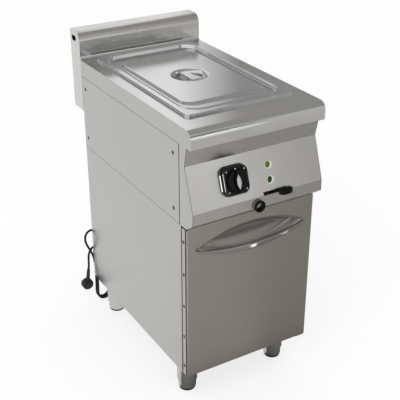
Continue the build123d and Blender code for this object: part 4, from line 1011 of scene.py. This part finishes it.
# Between the worktop and the sides in tone, with level streaks.
splash_steel = brushed_steel("satin_stainless_splash", "#c6c5c2", "#cfcecb", 0.26, (120, 120, 2), 0.02)
splash_outline = [(back_y, 692), (back_y, 930), (700, 930), (700, 692)]
splash_bends = (27, 3, 3)
splash_profile = [(back_y, top_z + upstand)] + splash_outline[1:] + splash_outline[:1]
bm = bmesh.new()
folded_sheet(bm, splash_profile, splash_bends, (-198.5, 198.5), "x")
kept("splash_box", bm, "counter", splash_steel, "panel_steel", top_gauge)
for side, sign in sides:
    bm = bmesh.new()
    corners = [bm.verts.new((sign * half, y, z)) for y, z in splash_outline]
    for first, second in zip(corners, corners[1:] + corners[:1]):
        bm.edges.new((first, second))
    for corner, bend in zip(corners[1:], splash_bends):
        ease(bm, [corner], bend, max(3, round(bend / 2)), "VERTICES")
    rim = list(bm.edges)
    slot_turn = Matrix.Rotation(math.pi / 2, 4, "Z") @ Matrix.Rotation(math.pi / 2, 4, "X")
    hand_slot = rounded_loop(bm, Matrix.Translation((sign * half, 675, 906)) @ slot_turn, 28, 16, 7.95)
    fill_between(bm, rim + hand_slot, (sign, 0, 0))
    kept("splash_end_" + side, bm, "counter", splash_steel, "panel_steel", top_gauge)

# Water tank: a pressed stainless well under the opening, with a tubular heater and the thermostat's bulb.
# A perforated false bottom stands over them.

# The tank is soft grey from drawing; heat has turned the heater's sheath brown and dull.
tank_steel = brushed_steel("drawn_stainless_tank", "#aeaeac", "#bcbcba", 0.32, (50, 50, 4), 0.03)
heater_sheath = brushed_steel("oxidised_heater_sheath", "#5b5652", "#77716b", 0.5, (4, 4, 4), 0.08)
dress(tank_steel, "water_tank", "false_bottom")
dress(heater_sheath, "heater", "thermostat_bulb")

# Gastronorm pan: drawn from one bright stainless sheet, with a flat rim and a turned-down edge.
# Its walls draw in a little towards a rounded base; it hangs in the opening by its rim.

# Bright drawn sheet has no grain to see and mirrors the room, a little blurred.
drawn_steel = brushed_steel("bright_drawn_stainless", "#cccdce", "#d2d3d4", 0.16, (40, 40, 40), 0.002)
rim_z = 854
wall_drop = 128
draft = math.tan(math.radians(3))
bm = bmesh.new()
pan_rings = [
    (325, 530, 12, top_z), (325, 530, 12, 853.2), (324.4, 529.4, 11.7, 853.8), (323.4, 528.4, 11.2, rim_z),
    (302, 507, 51, rim_z), (300.4, 505.4, 50.2, 853.6), (299.8, 504.8, 49.9, 852.6),
]
walls = [(wall_drop * share * draft, wall_drop * share) for share in (0.3, 0.6, 0.85)]
for turn in (0, 20, 40, 60, 75, 90):
    inset = wall_drop * draft + 21 * (1 - math.cos(math.radians(turn)))
    walls.append((inset, wall_drop + 22 * math.sin(math.radians(turn))))
pan_rings += [(300 - 2 * inset, 505 - 2 * inset, 50 - inset, rim_z - drop) for inset, drop in walls]
pan = [rounded_loop(bm, well @ lift(z), x, y, corner, 12) for x, y, corner, z in pan_rings]
skin(bm, pan)
bmesh.ops.edgeloop_fill(bm, edges=pan[-1])
face_out(bm, up)
kept("gn_pan", bm, "pan", drawn_steel, "drawn_steel", 1.0)

# Lid: a bright pressed sheet with a flat rim, a bead and a valley inside it and a raised middle.
# A round dish in the middle has a strap welded across it for the hand.
slope = 6 * math.tan(math.radians(55))
top_x = 256 - 2 * slope
top_y = 392 - 2 * slope
bm = bmesh.new()
lid_rings = [
    (320.4, 525.4, 10, rim_z), (320.4, 525.4, 10, 856.2), (319.9, 524.9, 9.8, 856.8),
    (318.8, 523.8, 9.2, 857), (296, 492, 51, 857), (295, 491, 50.5, 857.2), (291.4, 487.4, 48.7, 859),
    (290, 486, 48, 859.3), (288.6, 484.6, 47.3, 858.9), (287.6, 483.6, 46.8, 857.8),
    (284, 480, 45, 850.8), (282.8, 478.8, 44.4, 849.6), (281, 477, 43.5, 849),
    (258, 394, 40, 849), (256, 392, 39, 849.2), (254, 390, 38, 849.7),
    (top_x + 3, top_y + 3, 33, 854.2), (top_x, top_y, 31.5, 854.8), (top_x - 4, top_y - 4, 30, 855),
]
lid = [rounded_loop(bm, well @ lift(z), x, y, corner) for x, y, corner, z in lid_rings]
skin(bm, lid)
dish_rings = [
    (55, 855), (52, 854.5), (49.2, 852.9), (47, 850.2), (45.4, 846.8), (44.6, 843), (42.6, 838.8),
    (41.4, 836.4), (39.9, 835.3), (37.9, 835),
]
dish = [round_loop(bm, well @ lift(z), radius, 72) for radius, z in dish_rings]
fill_between(bm, lid[-1] + dish[0], up)
skin(bm, dish)
bmesh.ops.edgeloop_fill(bm, edges=dish[-1])
bmesh.ops.remove_doubles(bm, verts=bm.verts, dist=0.002)
face_out(bm, up)
kept("lid", bm, "cover", drawn_steel, "drawn_steel", 1.0)
bm = bmesh.new()
folded_sheet(bm, [(313, 835), (313, 853), (387, 853), (387, 835)], [4, 4], (-11, 11), "x")
kept("lid_grip", bm, "cover", drawn_steel, "drawn_steel", 2.0)

# Supply cord: a black rubber lead from the gland in the back, hung past the left rear edge.
# Its length is folded into a hank of three turns with a tie, and it ends in a moulded round plug.
cord_r = 3.5
hank_x = -166.0
hank_y = 643
hank_half = 21
hank_turns = 3
fold_r = 23.0
low_fold_z = 31
high_fold_z = 193
route = [
    (-186.0, 650, 276), (-203.0, 650, 276), (-217.0, 649, 265.5), (-221.5, 647.5, 246.6),
    (-216.0, 646, 224.9), (-206.0, 645, 204.6), (-198.1, 645, 183.6), (-193.6, 645, 159.8),
    (-191.0, 644.5, 136), (-187.6, 643, 100),
]
for turn in range(hank_turns):
    last_turn = turn == hank_turns - 1
    y = hank_y + 2 * cord_r * turn
    route += [(hank_x - hank_half, y, z) for z in ((150, 75) if turn else (65,))]
    for angle in (180, 225, 270, 315, 360):
        side_x = hank_x + fold_r * math.cos(math.radians(angle))
        route.append((side_x, y, low_fold_z + fold_r * math.sin(math.radians(angle))))
    route += [(hank_x + hank_half, y, 75), (hank_x + hank_half, y, 150)]
    for angle in (0, 45, 90) if last_turn else (0, 45, 90, 135, 180):
        side_x = hank_x + fold_r * math.cos(math.radians(angle))
        side_y = y if last_turn else y + 2 * cord_r * angle / 180
        route.append((side_x, side_y, high_fold_z + fold_r * math.sin(math.radians(angle))))
route += [
    (-180.9, 656, 212), (-196.0, 655, 206.7), (-207.0, 655, 192.8), (-211.5, 652.5, 172.0),
    (-212.3, 650, 152.0), (-214.9, 650, 132),
]
cord_curve = bpy.data.curves.new("supply_cord", "CURVE")
cord_curve.dimensions = "3D"
cord_curve.bevel_depth = cord_r * MM
cord_curve.bevel_resolution = 5
cord_curve.resolution_u = 8
cord_curve.use_fill_caps = True
line = cord_curve.splines.new("NURBS")
line.points.add(len(route) - 1)
for point, (x, y, z) in zip(line.points, route):
    point.co = (x * MM, y * MM + NOSE_Y, z * MM, 1)
line.order_u = 3
line.use_endpoint_u = True
cord_curve.materials.append(black_rubber)
cord = bpy.data.objects.new("supply_lead", cord_curve)
bpy.context.scene.collection.objects.link(cord)
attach(cord, "counter")
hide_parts("supply_cord", "cord_tail", "cord_hank")

plug_x = -222
plug_y = 650
plug_z = 78
to_back = Matrix.Rotation(-math.pi / 2, 4, "X")
plug_profile = [
    (0, -11), (12, -11), (15.5, -10.2), (17.6, -8), (18.5, -5), (18.5, -2.6), (17.9, -2.2), (17.9, -1.2),
    (18.5, -0.8), (18.5, 1.6), (17.9, 2), (17.9, 3), (18.5, 3.4), (18.5, 10.2), (17.8, 11), (0, 11),
]
pin_profile = [(0, -1), (2.4, -1), (2.4, 17.4), (2.0, 18.6), (1.2, 19), (0, 19)]
neck_profile = [(0, -1), (4.6, -1), (5, 0)]
for ridge in range(5):
    z = 3 + ridge * 5
    r = 5 + ridge * 0.2
    neck_profile += [(r + 0.2, z), (r - 0.5, z + 0.8), (r - 0.5, z + 2.2), (r + 0.3, z + 3)]
neck_profile += [(6.4, 34), (8, 40), (8, 50), (0, 50)]
tail_end = Vector(route[-1])
neck_turn = (Vector((plug_x, plug_y, plug_z)) - tail_end).to_track_quat("Z", "Y").to_matrix().to_4x4()
bm = bmesh.new()
turned(bm, plug_profile, Matrix.Translation((plug_x, plug_y, plug_z)) @ to_back)
turned(bm, neck_profile, Matrix.Translation(tail_end) @ neck_turn, 24)
plug = kept("plug", bm, "counter", black_matte, "black_matte")
bm = bmesh.new()
for pin_x in (plug_x - 9.5, plug_x + 9.5):
    turned(bm, pin_profile, Matrix.Translation((pin_x, plug_y + 11, plug_z)) @ to_back, 20)
pins = kept("plug_pins", bm, "counter", polished_steel, "polished_steel")
tie_x = 2 * (hank_half + cord_r)
tie_y = 2 * cord_r * hank_turns
bm = bmesh.new()
tie_rings = [
    rounded_loop(bm, Matrix.Translation((hank_x, 650, z)), tie_x + 2 * grow, tie_y + 2 * grow, 9, 6)
    for grow, z in ((0.2, 106), (1.4, 106), (1.6, 107), (1.6, 117), (1.4, 118), (0.2, 118))
]
skin(bm, tie_rings + tie_rings[:1])
tie = kept("cord_tie", bm, "counter", black_matte, "black_matte")
dress(black_matte, "cord_gland", "terminal_block")
